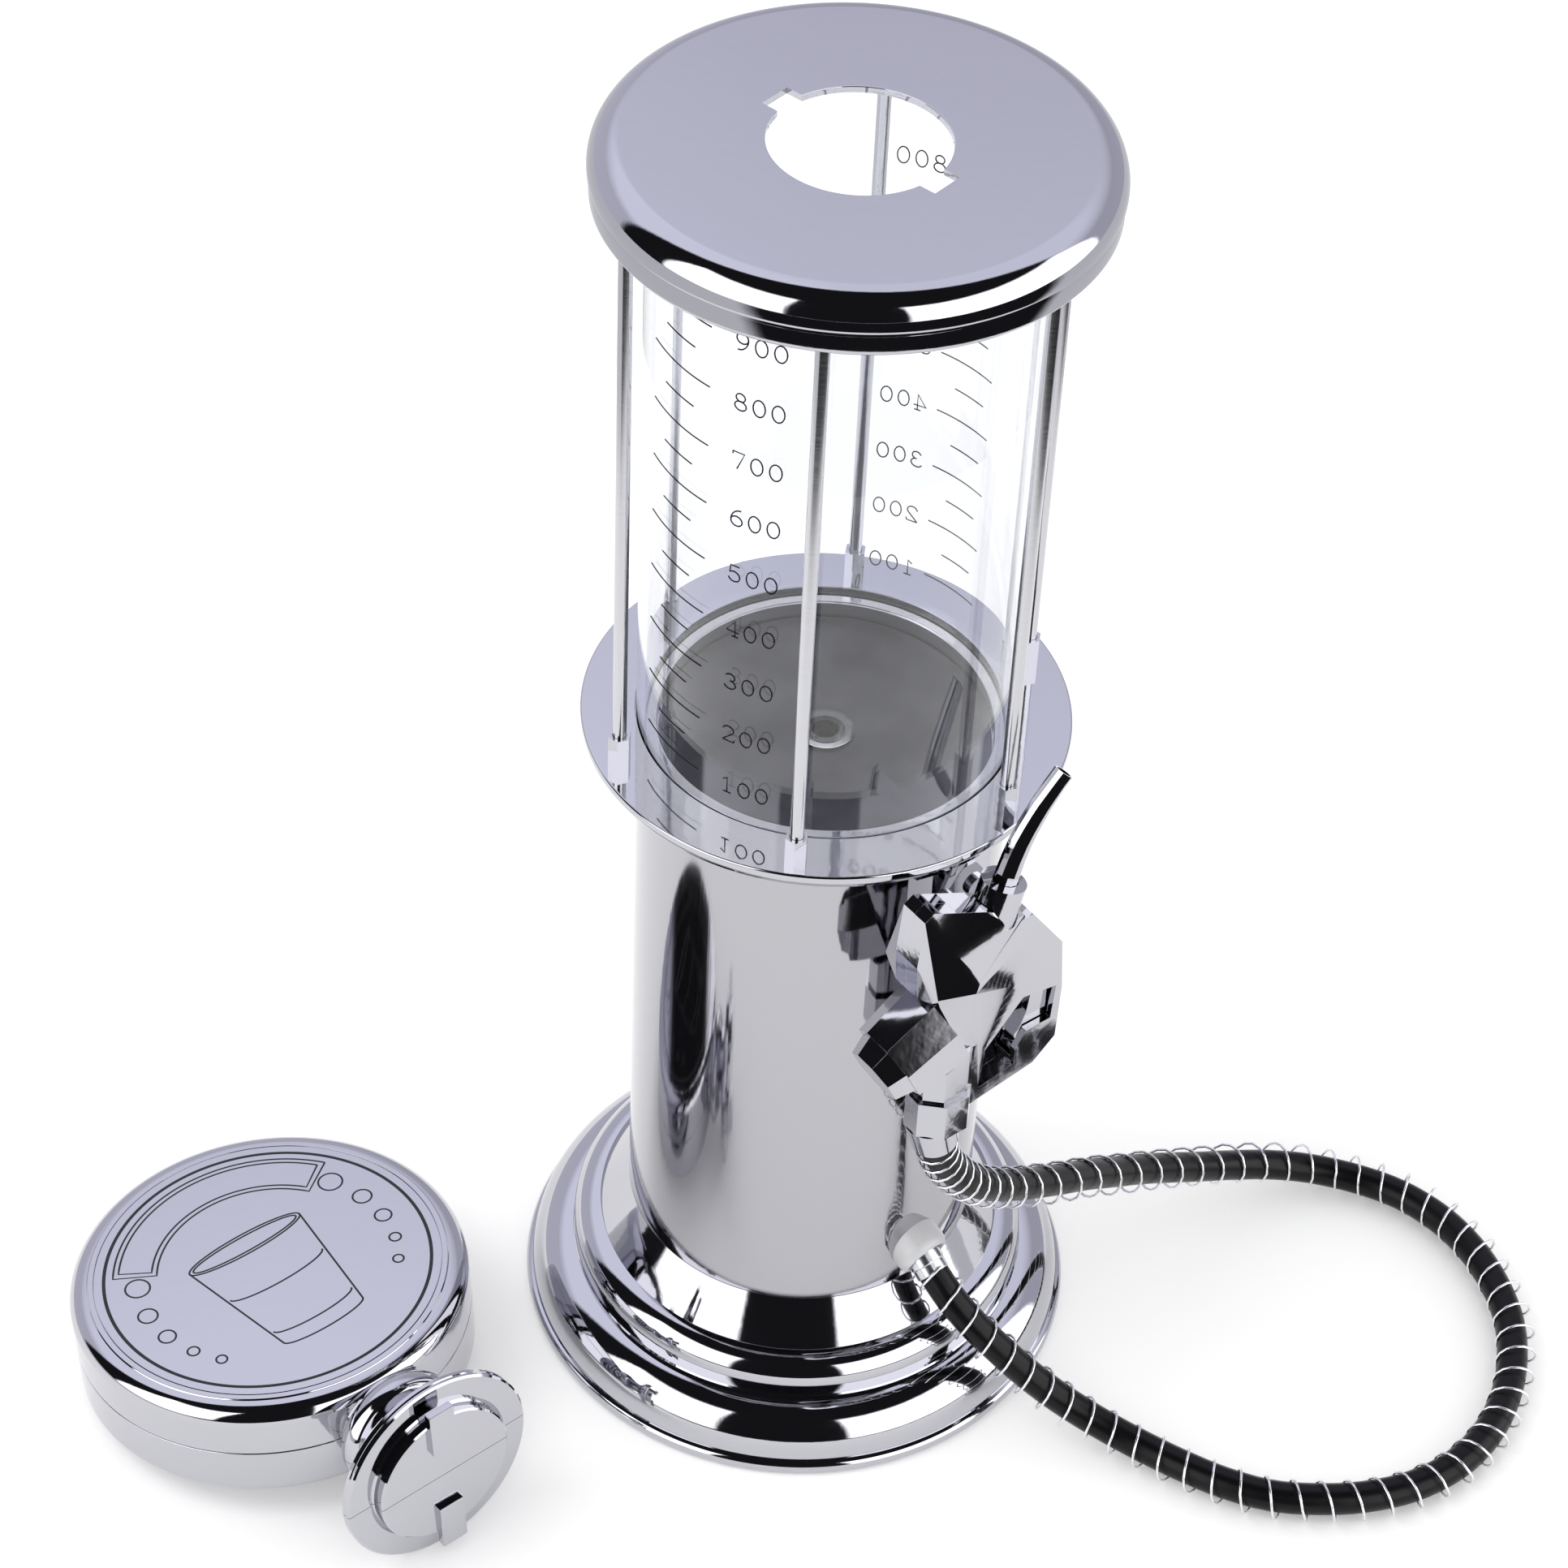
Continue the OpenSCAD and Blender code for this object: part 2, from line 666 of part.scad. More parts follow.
module top_cap() {
    color("lavender") difference() {
        rotate_extrude() polygon(concat(
            [[fill_d / 2, cap_top]],
            arc([cap_face_r, cap_roll_h], cap_roll, cap_roll, 90, 0, 12),
            [[cap_r - cap_lip_set, cap_roll_h - cap_lip_set],
             [cap_r - cap_lip_set, cap_foot + cap_lip_edge],
             [cap_r - cap_lip_set - cap_lip_edge / 2, cap_foot],
             [cap_r - cap_t - cap_lip_set, cap_foot]],
            arc([cap_face_r, cap_roll_h], cap_roll - cap_t, cap_roll - cap_t, 0, 90, 12),
            [[fill_d / 2, cap_under]]));
        for (half = [0, 180]) rotate([0, 0, notch_angle + half])
            translate([0, -notch_w / 2, cap_under - 1])
                cube([fill_d / 2 + notch_depth, notch_w, cap_t + 2]);
    }
}

module tie_rod(number) {
    foot = collar_top - rod_bite;
    color("silver") rotate([0, 0, rod_angle + 360 * (number - 1) / rod_count])
        translate([rod_circle_r, 0, foot])
            cylinder(h = plate_under + rod_top_bite - foot, r = rod_r);
}

module hex_collar(h) {
    difference() {
        cylinder(h = h, r = rod_foot_w / 2, $fn = 6);
        translate([0, 0, -1]) cylinder(h = h + 2, r = rod_r + seat_gap);
    }
}

module rod_feet() {
    color("silver") round_copies(rod_count, rod_angle) translate([rod_circle_r, 0, collar_top])
        hex_collar(rod_foot_h);
}

module rod_nuts() {
    color("silver") round_copies(rod_count, rod_angle)
        translate([rod_circle_r, 0, plate_under - rod_nut_h]) hex_collar(rod_nut_h);
}

// --- Nozzle bracket ---

module bracket_block() {
    half_w = bracket_w / 2;
    translate([-half_w, -bracket_front, bracket_foot])
        cube([bracket_w, bracket_front - bracket_root, bracket_h]);
    intersection() {
        translate([0, 0, column_top - ledge_t]) cylinder(h = ledge_t, r = ledge_reach);
        translate([-ledge_half_w, -ledge_reach, bracket_foot])
            cube([ledge_half_w * 2, ledge_reach - bracket_root, bracket_h]);
    }
}

module bracket_hollow() {
    half_w = bracket_w / 2 - bracket_wall;
    translate([-half_w, bracket_wall - bracket_front, bracket_foot + bracket_wall])
        cube([half_w * 2, bracket_front, bracket_h - bracket_wall - ledge_t]);
}

module bracket() {
    color("gainsboro") difference() {
        bracket_block();
        cylinder(h = column_top + 1, r = column_r + bracket_gap);
        bracket_hollow();
        bracket_screw_places() cylinder(h = bracket_front + 1, r = bracket_screw_r + seat_gap);
        nozzle_plug(soft_gap);
    }
}

module bracket_screws() {
    color("silver") bracket_screw_places() {
        translate([0, 0, bracket_front]) cylinder(h = bracket_head_t, r = bracket_head_r);
        translate([0, 0, bracket_front - bracket_screw_len])
            cylinder(h = bracket_screw_len, r = bracket_screw_r);
    }
}

// --- Hose ---

module hose() {
    color("#141416") sweep(hose_route, [for (p = hose_route) hose_wrap_d / 2], hose_sides);
}

// --- Nozzle ---

// Puts a plane drawing upright in the nozzle's middle plane, with a depth along Y
module in_nozzle_plane(depth) {
    translate([0, -nozzle_out, nozzle_shift]) rotate([90, 0, 0])
        linear_extrude(height = depth, center = true) children();
}

// Moves to a point of the nozzle's plane, with Z along Y
module at_nozzle(p) {
    translate([p[0], -nozzle_out, p[1] + nozzle_shift]) children();
}

module nozzle_plug(grow = 0) {
    reach = bracket_front - bracket_wall - spigot_plug_reach;
    foot = spigot_plug_z - spigot_plug_h / 2 - grow + nozzle_shift;
    translate([-spigot_plug_w / 2 - grow, -nozzle_out, foot])
        cube([spigot_plug_w + grow * 2, nozzle_out - reach + grow, spigot_plug_h + grow * 2]);
}

module octagon_prism(w, depth, h, chamfer) {
    half = [w / 2, depth / 2];
    corner = half - [chamfer, chamfer];
    linear_extrude(height = h) polygon([
        [half[0], -corner[1]], [half[0], corner[1]], [corner[0], half[1]], [-corner[0], half[1]],
        [-half[0], corner[1]], [-half[0], -corner[1]], [-corner[0], -half[1]], [corner[0], -half[1]]]);
}

// Z runs out along the valve's axis, from the seat of the valve cap; X points down across it
module along_valve(at = 0) {
    at_nozzle(valve_root) rotate([0, -90 - valve_tilt, 0]) translate([0, 0, at]) children();
}

module nozzle_outside() {
    at_nozzle([grip_x, grip_foot]) octagon_prism(grip_w, grip_depth, grip_wide_z - grip_foot, grip_chamfer);
    at_nozzle([grip_x, grip_wide_z])
        octagon_prism(grip_w - grip_step * 2, grip_depth - grip_step * 2, grip_top - grip_wide_z,
                      grip_chamfer - grip_step);
    hull() {
        in_nozzle_plane(body_slab) polygon(body_outline);
        in_nozzle_plane(nozzle_depth) polygon(body_face);
    }
    difference() {
        in_nozzle_plane(guard_depth) polygon(guard_outline);
        in_nozzle_plane(guard_depth + 1) polygon(guard_window);
    }
    in_nozzle_plane(guard_depth) polygon(ear_outline);
    nozzle_plug();
}

// Room for the valve, the trigger, the spout nut and the drink's way through
module nozzle_inside() {
    slot = trigger_w + trigger_gap * 2;
    along_valve() translate([-valve_root_size[0] / 2 - soft_gap, -nozzle_depth, 0])
        cube([valve_root_size[0] + valve_face_reach, nozzle_depth * 2, valve_root_size[0]]);
    along_valve(-chamber_front) cylinder(h = chamber_front + 1, d = chamber_d);
    along_valve(-stem_end - stem_past) cylinder(h = stem_end + stem_past, r = stem_d / 2 + run_gap);
    in_nozzle_plane(slot) polygon(slot_outline);
    in_nozzle_plane(slot) polygon(guard_window);
    at_nozzle(trigger_pivot) rotate([90, 0, 0]) {
        cylinder(h = pin_len, r = pin_d / 2 + run_gap, center = true);
        cylinder(h = slot, r = pivot_room, center = true);
    }
    at_nozzle(nut_foot) rotate([0, nut_lean, 0]) {
        cylinder(h = nut_seat_depth, r = spout_nut_d / 2 + soft_gap);
        translate([0, 0, -spout_inlet]) cylinder(h = spout_inlet + 1, r = spout_bore / 2);
    }
    at_nozzle([grip_x, grip_foot - 1]) cylinder(h = grip_bore_len, r = hose_bore / 2);
}

module nozzle_half(side) {
    difference() {
        intersection() {
            nozzle_outside();
            translate([0, side < 0 ? -half_box[1] : 0, nozzle_shift])
                translate([-half_box[0] / 2, -nozzle_out, half_box_foot]) cube(half_box);
        }
        nozzle_inside();
    }
}

module nozzle_front_shell() {
    color("gainsboro") nozzle_half(-1);
}

module nozzle_back_shell() {
    color("lightgray") nozzle_half(1);
}

module valve_octagon(size, at, h) {
    along_valve(at) octagon_prism(size[0], size[1], h, size[1] * valve_corner);
}

module valve_cap() {
    color("gainsboro") difference() {
        hull() {
            valve_octagon(valve_root_size, 0, cut);
            valve_octagon(valve_end_size, valve_cap_len, cut);
        }
        along_valve(-1) cylinder(h = chamber_back + 1, d = chamber_d);
    }
}

module valve_ring() {
    color("gainsboro") hull() {
        valve_octagon(valve_ring_size, valve_cap_len + valve_joint, cut);
        valve_octagon(valve_ring_end, valve_cap_len + valve_joint + valve_ring_len, cut);
    }
}

module at_spout(up) {
    at_nozzle(nut_foot) rotate([0, nut_lean, 0]) translate([0, 0, up]) children();
}

module spout_nut() {
    color("gainsboro") difference() {
        at_spout(0) cylinder(h = spout_nut_h, r = spout_nut_d / 2);
        at_spout(-1) cylinder(h = nut_floor + 2, r = spout_bore / 2);
        at_spout(nut_floor) translate([spout_set, 0, 0])
            cylinder(h = spout_nut_h, r = spout_root_d / 2 + seat_gap);
    }
}

module spout() {
    last = len(spout_path) - 1;
    slope = (spout_tip_d - spout_root_d) / 2 / (last - 2);
    taper = [for (i = [0:last]) spout_root_d / 2 + slope * min(max(i - 1, 0), last - 2)];
    bore = [for (p = spout_path) spout_bore / 2];
    past_ends = concat([spout_path[0] - [0, 0, 1]], [for (i = [1:last - 1]) spout_path[i]],
                       [spout_path[last] * 2 - spout_path[last - 1]]);
    color("gainsboro") at_spout(spout_foot) translate([spout_set, 0, 0]) difference() {
        sweep(spout_path, taper, spout_sides);
        sweep(past_ends, bore, spout_sides);
    }
}

module hose_fitting() {
    color("silver") difference() {
        at_nozzle([grip_x, grip_foot - fitting_drop]) rotate([0, -fitting_lean, 0]) difference() {
            cylinder(h = fitting_len, r1 = fitting_d / 2 - fitting_taper, r2 = fitting_d / 2);
            translate([0, 0, -1]) cylinder(h = fitting_len + 2, r = hose_bore / 2);
        }
        at_nozzle([grip_x, grip_foot]) cylinder(h = fitting_len, r = fitting_d);
    }
}

// --- Trigger and valve ---

module trigger_pin() {
    color("silver") at_nozzle(trigger_pivot) rotate([90, 0, 0])
        cylinder(h = pin_len - pin_short, d = pin_d, center = true);
}

module trigger() {
    color("gainsboro") difference() {
        in_nozzle_plane(trigger_w) {
            polygon(trigger_outline);
            translate(trigger_nose) circle(r = trigger_nose_r);
            polygon(concat([trigger_nose - [0, trigger_nose_r]], trigger_nose_root,
                           [trigger_nose + [0, trigger_nose_r]]));
        }
        at_nozzle(trigger_pivot) rotate([90, 0, 0])
            cylinder(h = trigger_w + 1, r = pin_d / 2 + run_gap, center = true);
    }
}

module valve_stem() {
    color("silver") {
        along_valve(-stem_end) cylinder(h = stem_end + stem_tail, d = stem_d);
        along_valve(stem_collar_at) cylinder(h = stem_collar_t, r = stem_collar_r);
    }
}

module valve_seal() {
    color("#202022") along_valve(seal_at) ring(stem_collar_r + seal_lip, stem_d / 2 + run_gap, seal_t);
}

module valve_spring() {
    coil_r = stem_collar_r - spring_gap;
    color("silver") along_valve(spring_at)
        ring(coil_r, coil_r - spring_wire, chamber_back - spring_at - spring_gap);
}

// --- Topper ---

// The disc lies in its own XY plane with the foot on +X; this lays it on the table
module lay_topper() {
    translate([-topper_x, topper_y, topper_z]) rotate([0, 0, topper_turn]) rotate([0, -topper_tilt, 0])
        children();
}

module disc_solid(inset) {
    r = disc_r - inset;
    half = disc_t / 2 - inset;
    bend = disc_round;
    rotate_extrude() polygon(concat(
        [[0, -half]],
        arc([r - bend, bend - half], bend, bend, -90, 0, 6),
        arc([r - bend, half - bend], bend, bend, 0, 90, 6),
        [[0, half]]));
}

// Turned neck, foot flange and plug, drawn along +Z from inside the disc
module neck_solid(inset) {
    rotate([0, 90, 0]) translate([0, 0, neck_root]) rotate_extrude() polygon(concat(
        [[0, 0], [neck_disc_r - inset, 0], [neck_disc_r - inset, neck_len * 0.3]],
        arc([neck_disc_r - inset, neck_len * 0.48], neck_bulge_r - neck_disc_r, neck_len * 0.18, -90, 60, 6),
        [[neck_waist_r - inset, neck_len * 0.78], [neck_waist_r - inset, neck_len * 0.86]],
        [[0, neck_len * 0.86]]));
}

module foot_solid() {
    rotate([0, 90, 0]) translate([0, 0, neck_root]) {
        rotate_extrude() polygon([
            [0, neck_len * 0.84], [neck_waist_r, neck_len * 0.84], [flange_root_r, neck_len * 0.9],
            [foot_r, neck_len], [foot_r, neck_len + foot_t], [0, neck_len + foot_t]]);
        translate([0, 0, neck_len + foot_t - cut]) cylinder(h = plug_h + cut, r = plug_r);
        for (half = [0, 180]) rotate([0, 0, half])
            translate([plug_r - lug_root, -lug_w / 2, neck_len + foot_t + lug_foot])
                cube([lug_reach - plug_r + lug_root, lug_w, lug_h - lug_foot]);
    }
}

module topper_solid() {
    disc_solid(0);
    neck_solid(0);
    foot_solid();
}

module topper_hollow() {
    disc_solid(disc_wall);
    neck_solid(disc_wall);
}

module topper_boss_places() {
    for (a = [60, 180, 300]) rotate([0, 0, a]) translate([topper_screw_circle, 0, 0]) children();
}

module topper_boss() {
    translate([0, 0, topper_skin - disc_t / 2]) cylinder(h = disc_t - topper_skin * 2, r = topper_boss_r);
}

module topper_half(side) {
    difference() {
        intersection() {
            union() {
                difference() {
                    topper_solid();
                    topper_hollow();
                }
                topper_boss_places() topper_boss();
            }
            translate([-disc_d, -disc_d, side > 0 ? 0 : -foot_d]) cube([disc_d * 3, disc_d * 2, foot_d]);
        }
        translate([0, 0, disc_t / 2 - face_t]) cylinder(h = face_t + 1, r = face_d / 2 + face_gap);
        topper_boss_places() translate([0, 0, -disc_t / 2 - 1]) {
            cylinder(h = disc_t - topper_screw_short / 3, r = topper_screw_r + seat_gap);
            cylinder(h = topper_screw_sink + topper_screw_head_t + 1, r = topper_screw_head_r + seat_gap);
        }
    }
}

module topper_front_shell() {
    color("lavender") lay_topper() topper_half(1);
}

module topper_back_shell() {
    color("gainsboro") lay_topper() topper_half(-1);
}

module topper_face() {
    color("lavender") lay_topper() translate([0, 0, disc_t / 2 - face_t])
        cylinder(h = face_t, r = face_d / 2);
}

module topper_screws() {
    color("silver") lay_topper() topper_boss_places() {
        translate([0, 0, topper_screw_sink - disc_t / 2]) {
            cylinder(h = disc_t - topper_screw_short, r = topper_screw_r);
            cylinder(h = topper_screw_head_t, r = topper_screw_head_r);
        }
    }
}

base_pad();
bottom_plate();
base_weight();
bottom_screws();
base_shell();
column();
hose_gland();
gland_nut();
inner_hose();
collar();
lower_gasket();
tank_floor();
drain_spigot();
drain_nut();
tank_tube();
upper_gasket();
rod_plate();
top_cap();
tie_rod(1);  // tie_rod_1
tie_rod(2);  // tie_rod_2
tie_rod(3);  // tie_rod_3
tie_rod(4);  // tie_rod_4
tie_rod(5);  // tie_rod_5
tie_rod(6);  // tie_rod_6
rod_feet();
rod_nuts();
bracket();
bracket_screws();
hose();
nozzle_front_shell();
nozzle_back_shell();
valve_cap();
valve_ring();
spout_nut();
spout();
hose_fitting();
valve_spring();
trigger_pin();
trigger();
valve_stem();
valve_seal();
topper_front_shell();
topper_back_shell();
topper_face();
topper_screws();
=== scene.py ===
"""Looks of a countertop drinks dispenser shaped like an old petrol pump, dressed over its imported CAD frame.

Lengths in the sections are in millimetres and turned to metres where a mesh is made. +Z is up, the filler
nozzle hangs on -Y, and the round topper lies on the table at -X.
"""

import math

import bmesh
import bpy
from mathutils import Matrix, Vector


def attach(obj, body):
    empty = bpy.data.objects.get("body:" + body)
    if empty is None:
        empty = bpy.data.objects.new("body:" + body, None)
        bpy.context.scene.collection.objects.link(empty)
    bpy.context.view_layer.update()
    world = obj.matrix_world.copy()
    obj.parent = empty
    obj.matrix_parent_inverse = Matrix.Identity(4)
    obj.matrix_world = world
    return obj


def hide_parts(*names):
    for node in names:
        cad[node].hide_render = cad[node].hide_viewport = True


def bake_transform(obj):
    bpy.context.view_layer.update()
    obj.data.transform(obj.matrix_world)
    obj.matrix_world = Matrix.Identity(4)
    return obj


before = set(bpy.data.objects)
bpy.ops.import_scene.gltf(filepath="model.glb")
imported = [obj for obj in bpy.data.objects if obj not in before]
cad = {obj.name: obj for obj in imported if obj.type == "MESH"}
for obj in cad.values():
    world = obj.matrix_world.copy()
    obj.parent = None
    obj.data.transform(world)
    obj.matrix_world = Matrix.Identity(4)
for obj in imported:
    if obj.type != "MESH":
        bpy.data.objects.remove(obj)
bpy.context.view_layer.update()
scene = bpy.context.scene
scene.view_settings.view_transform = "Standard"

# ------------------------------------------------------------------------------------------- Camera
# A long lens looks down on the pump from its front left, turned a little on its own axis.
camera_place = Vector((-0.4856, -0.5851, 0.8931))
camera_azimuth = math.radians(-39)
camera_elevation = math.radians(43.155)
camera_roll = math.radians(2.895)
lens = 96.24

camera = bpy.data.objects.new("camera", bpy.data.cameras.new("camera"))
scene.collection.objects.link(camera)
camera.data.sensor_width = 36
camera.data.lens = lens
camera.data.shift_x = -0.0006
camera.data.shift_y = 0.0023
camera.data.clip_start = 0.05
camera.data.clip_end = 20
camera.matrix_world = (
    Matrix.Translation(camera_place)
    @ Matrix.Rotation(camera_azimuth, 4, "Z")
    @ Matrix.Rotation(math.pi / 2 - camera_elevation, 4, "X")
    @ Matrix.Rotation(camera_roll, 4, "Z")
)
scene.camera = camera

# --------------------------------------------------------------------------------------------- Hose
# A soft black PVC hose, 8.4 mm thick, runs from the gland over the table and up to the nozzle. A loose
# spiral of plated wire is wound round it so that it can't kink.
MM = 0.001
hose_d = 8.4
wire_d = 0.72
spiral_r = 5.4
hose_route = [
    (3.4, -53, 45.2), (4.4, -60, 40.2), (7, -67, 34.4), (11, -74, 28), (15.5, -80.5, 21.5),
    (20.5, -87, 15.5), (25.5, -94, 10.8), (30.5, -102, 7.4), (35, -111, 5.8), (39, -120, 5.5),
    (44, -130, 5.5), (51, -140, 5.5), (60, -148, 5.5), (71, -155, 5.5), (84, -160, 5.5),
    (98, -161.5, 5.5), (112, -159, 5.5), (125, -153, 5.5), (136, -144.5, 5.5), (145, -134, 5.5),
    (151, -122, 5.5), (154.5, -109, 5.5), (155, -96, 5.5), (152, -83, 5.6), (145.5, -71.5, 6),
    (136, -62, 7.8), (125, -56, 11), (113, -53, 15.8), (101, -52, 22), (89, -52, 29.4),
    (77, -52.5, 37), (65, -54, 45), (53, -56, 53.6), (41.6, -58.3, 61.4), (31.5, -60, 68.3),
    (22.5, -61.6, 74.8), (14.6, -63, 81), (8.2, -64, 86.6), (3.2, -64.6, 91.8), (-1, -65, 97),
    (-4.6, -65, 102.4), (-7.6, -65, 107.4), (-9.6, -65, 112.1), (-10.93, -65, 117.2),
]


def linear(hex_code):
    """A linear colour with alpha from an sRGB hex value."""
    parts = [int(hex_code[i : i + 2], 16) / 255 for i in (1, 3, 5)]
    return [c / 12.92 if c <= 0.04045 else ((c + 0.055) / 1.055) ** 2.4 for c in parts] + [1]


def add(tree, kind, settings=None, inputs=None):
    """Adds a node to a tree, sets its own settings, and gives each named input a value or a link."""
    made = tree.nodes.new(kind)
    for name, value in (settings or {}).items():
        setattr(made, name, value)
    for name, value in (inputs or {}).items():
        if isinstance(value, bpy.types.NodeSocket):
            tree.links.new(value, made.inputs[name])
        else:
            made.inputs[name].default_value = value
    return made


def blank_material(name):
    """A new material and its empty node tree."""
    material = bpy.data.materials.new(name)
    material.use_nodes = True
    material.node_tree.nodes.clear()
    return material, material.node_tree


def close_material(tree, shader):
    """Links a shader to the material's surface."""
    add(tree, "ShaderNodeOutputMaterial", inputs={"Surface": shader.outputs[0]})


def grain(size):
    """The Scale of a pattern whose marks are about a size in mm across."""
    return 1 / (size * MM)


def rounded_path(points, steps):
    """Points of a smooth curve that passes through the given ones, with steps points to each stretch."""
    ends = [points[0] * 2 - points[1]] + points + [points[-1] * 2 - points[-2]]
    path = []
    for i in range(1, len(ends) - 2):
        a, b, c, d = ends[i - 1 : i + 3]
        for k in range(steps):
            t = k / steps
            bend = (a * 2 - b * 5 + c * 4 - d) * t**2 + (b * 3 - a - c * 3 + d) * t**3
            path.append((b * 2 + (c - a) * t + bend) / 2)
    return path + [points[-1]]


def line_mesh(name, lines, width, sides, capped=False):
    """A mesh of round strokes of a width, each along a line of points, all in mm."""
    curve = bpy.data.curves.new(name, "CURVE")
    curve.dimensions = "3D"
    curve.bevel_depth = width / 2 * MM
    curve.bevel_resolution = sides
    curve.use_fill_caps = capped
    for line in lines:
        spline = curve.splines.new("POLY")
        spline.points.add(len(line) - 1)
        for spot, point in zip(spline.points, line):
            spot.co = [x * MM for x in point] + [1]
    sketch = bpy.data.objects.new(name, curve)
    mesh = bpy.data.meshes.new_from_object(sketch)
    bpy.data.objects.remove(sketch)
    mesh.shade_smooth()
    return mesh


def shown(name, mesh, material):
    """A mesh made an object of the scene, in one material."""
    mesh.materials.append(material)
    obj = bpy.data.objects.new(name, mesh)
    scene.collection.objects.link(obj)
    return obj


# Extruded plasticised PVC: deep black with a soft gloss, and faint smears of handling.
hose_black, tree = blank_material("extruded PVC, black")
place = add(tree, "ShaderNodeTexCoord")
smears = add(tree, "ShaderNodeTexNoise", inputs={
    "Vector": place.outputs["Object"], "Scale": grain(8.333), "Detail": 3})
gloss = add(tree, "ShaderNodeMapRange", inputs={
    "Value": smears.outputs[0], "To Min": 0.24, "To Max": 0.4})
skin = add(tree, "ShaderNodeBump", inputs={
    "Height": smears.outputs[0], "Strength": 0.05, "Distance": 0.4 * MM})
close_material(tree, add(tree, "ShaderNodeBsdfPrincipled", inputs={
    "Base Color": linear("#0a0a0d"), "Roughness": gloss.outputs[0], "IOR": 1.42, "Specular IOR Level": 0.25,
    "Normal": skin.outputs[0]}))

# Zinc-plated spring wire: bright silver with a soft drawn sheen.
wire_zinc, tree = blank_material("zinc-plated spring wire")
place = add(tree, "ShaderNodeTexCoord")
drawn = add(tree, "ShaderNodeTexNoise", inputs={
    "Vector": place.outputs["Object"], "Scale": grain(1.111), "Detail": 2})
gloss = add(tree, "ShaderNodeMapRange", inputs={
    "Value": drawn.outputs[0], "To Min": 0.16, "To Max": 0.34})
close_material(tree, add(tree, "ShaderNodeBsdfPrincipled", inputs={
    "Base Color": linear("#ececf0"), "Metallic": 1, "Roughness": gloss.outputs[0]}))

hose_line = rounded_path([Vector(p) for p in hose_route], 4)
hose_length = sum((b - a).length for a, b in zip(hose_line, hose_line[1:]))

# The spiral's turns stand about 7.5 mm apart on the table, are drawn out where the hose hangs, and crowd
# together at the nozzle: each pair is the way left to the nozzle and the gap there. The spiral is wider than
# the hose, so it lies a little outward of it round the loop on the table, and below it where the hose hangs.
turn_gaps = [(0, 3), (45, 7.5), (75, 11), (110, 11.5), (150, 9.7), (200, 7.3), (600, 7.6)]
turn_steps = 14
slack = 0.95
table_lift = 0.3
hang_start = 8
hang_rise = 30
end_taper = 14
loop_middle = Vector((98, -108, 0))
spiral = []
side = Vector((0, 0, 1))
phase = 0
walked = 0
for a, b in zip(hose_line, hose_line[1:]):
    ahead = (b - a).normalized()
    side = (side - ahead * side.dot(ahead)).normalized()
    across = ahead.cross(side)
    span = (b - a).length
    left = hose_length - walked
    near, far = next(pair for pair in zip(turn_gaps, turn_gaps[1:]) if left <= pair[1][0])
    gap = near[1] + (far[1] - near[1]) * (left - near[0]) / (far[0] - near[0])
    hung = min(1, max(0, (a.z - hang_start) / hang_rise))
    outward = Vector((a.x - loop_middle.x, a.y - loop_middle.y, 0)).normalized()
    loose = min(1, walked / end_taper, left / end_taper)
    shift = (outward * slack + Vector((0, 0, table_lift))) * (1 - hung) - Vector((0, 0, slack)) * hung
    count = max(1, round(span / gap * turn_steps))
    for k in range(count):
        turn = phase + 2 * math.pi * span / gap * k / count
        reach = (side * math.cos(turn) + across * math.sin(turn)) * spiral_r
        spiral.append(a + (b - a) * (k / count) + shift * loose + reach)
    phase += 2 * math.pi * span / gap
    walked += span
spiral = [p for p in spiral if p.z > wire_d / 2]

hose = shown("hose_tube", line_mesh("hose_tube", [hose_line], hose_d, 5, capped=True), hose_black)
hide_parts("hose")
wire_mesh = line_mesh("hose_wire_spiral", [spiral], wire_d, 2, capped=True)
hose_wire = shown("hose_wire_spiral", wire_mesh, wire_zinc)
for cord in (hose, hose_wire):
    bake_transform(cord)

# --------------------------------------------------------------------------------------------- Base
# The stepped foot is one hollow moulding of ABS, vacuum-metallised to look like chrome. Four screws from
# below hold its bottom plate, which carries a soft pad and an iron weight.
base_r = 74.1
lip_h = 4.4
bead_w = 1.7
bead_h = 2.4
lower_step_h = 17.2
band_r = 61
band_top = 21.2
crease_r = 54
crease_h = 28
base_h = 39.5
column_r = 46.25
base_wall = 2


def arc(center, rx, ry, start, end, steps):
    """Points of an elliptic arc round a centre, from one angle to another in degrees."""
    turns = [math.radians(start + (end - start) * i / steps) for i in range(steps + 1)]
    return [(center[0] + rx * math.cos(a), center[1] + ry * math.sin(a)) for a in turns]


def rounded(corners, steps=4):
    """A closed outline whose corners (x, y, radius) are rounded; a corner without a radius stays sharp."""
    outline = []
    for i, corner in enumerate(corners):
        at = Vector(corner[:2])
        if len(corner) == 2:
            outline.append(tuple(at))
            continue
        back = (Vector(corners[i - 1][:2]) - at).normalized()
        on = (Vector(corners[(i + 1) % len(corners)][:2]) - at).normalized()
        half = back.angle(on) / 2
        center = at + (back + on).normalized() * (corner[2] / math.sin(half))
        first = at + back * (corner[2] / math.tan(half)) - center
        last = at + on * (corner[2] / math.tan(half)) - center
        outline += [tuple(center + first.slerp(last, k / steps) * corner[2]) for k in range(steps + 1)]
    return outline


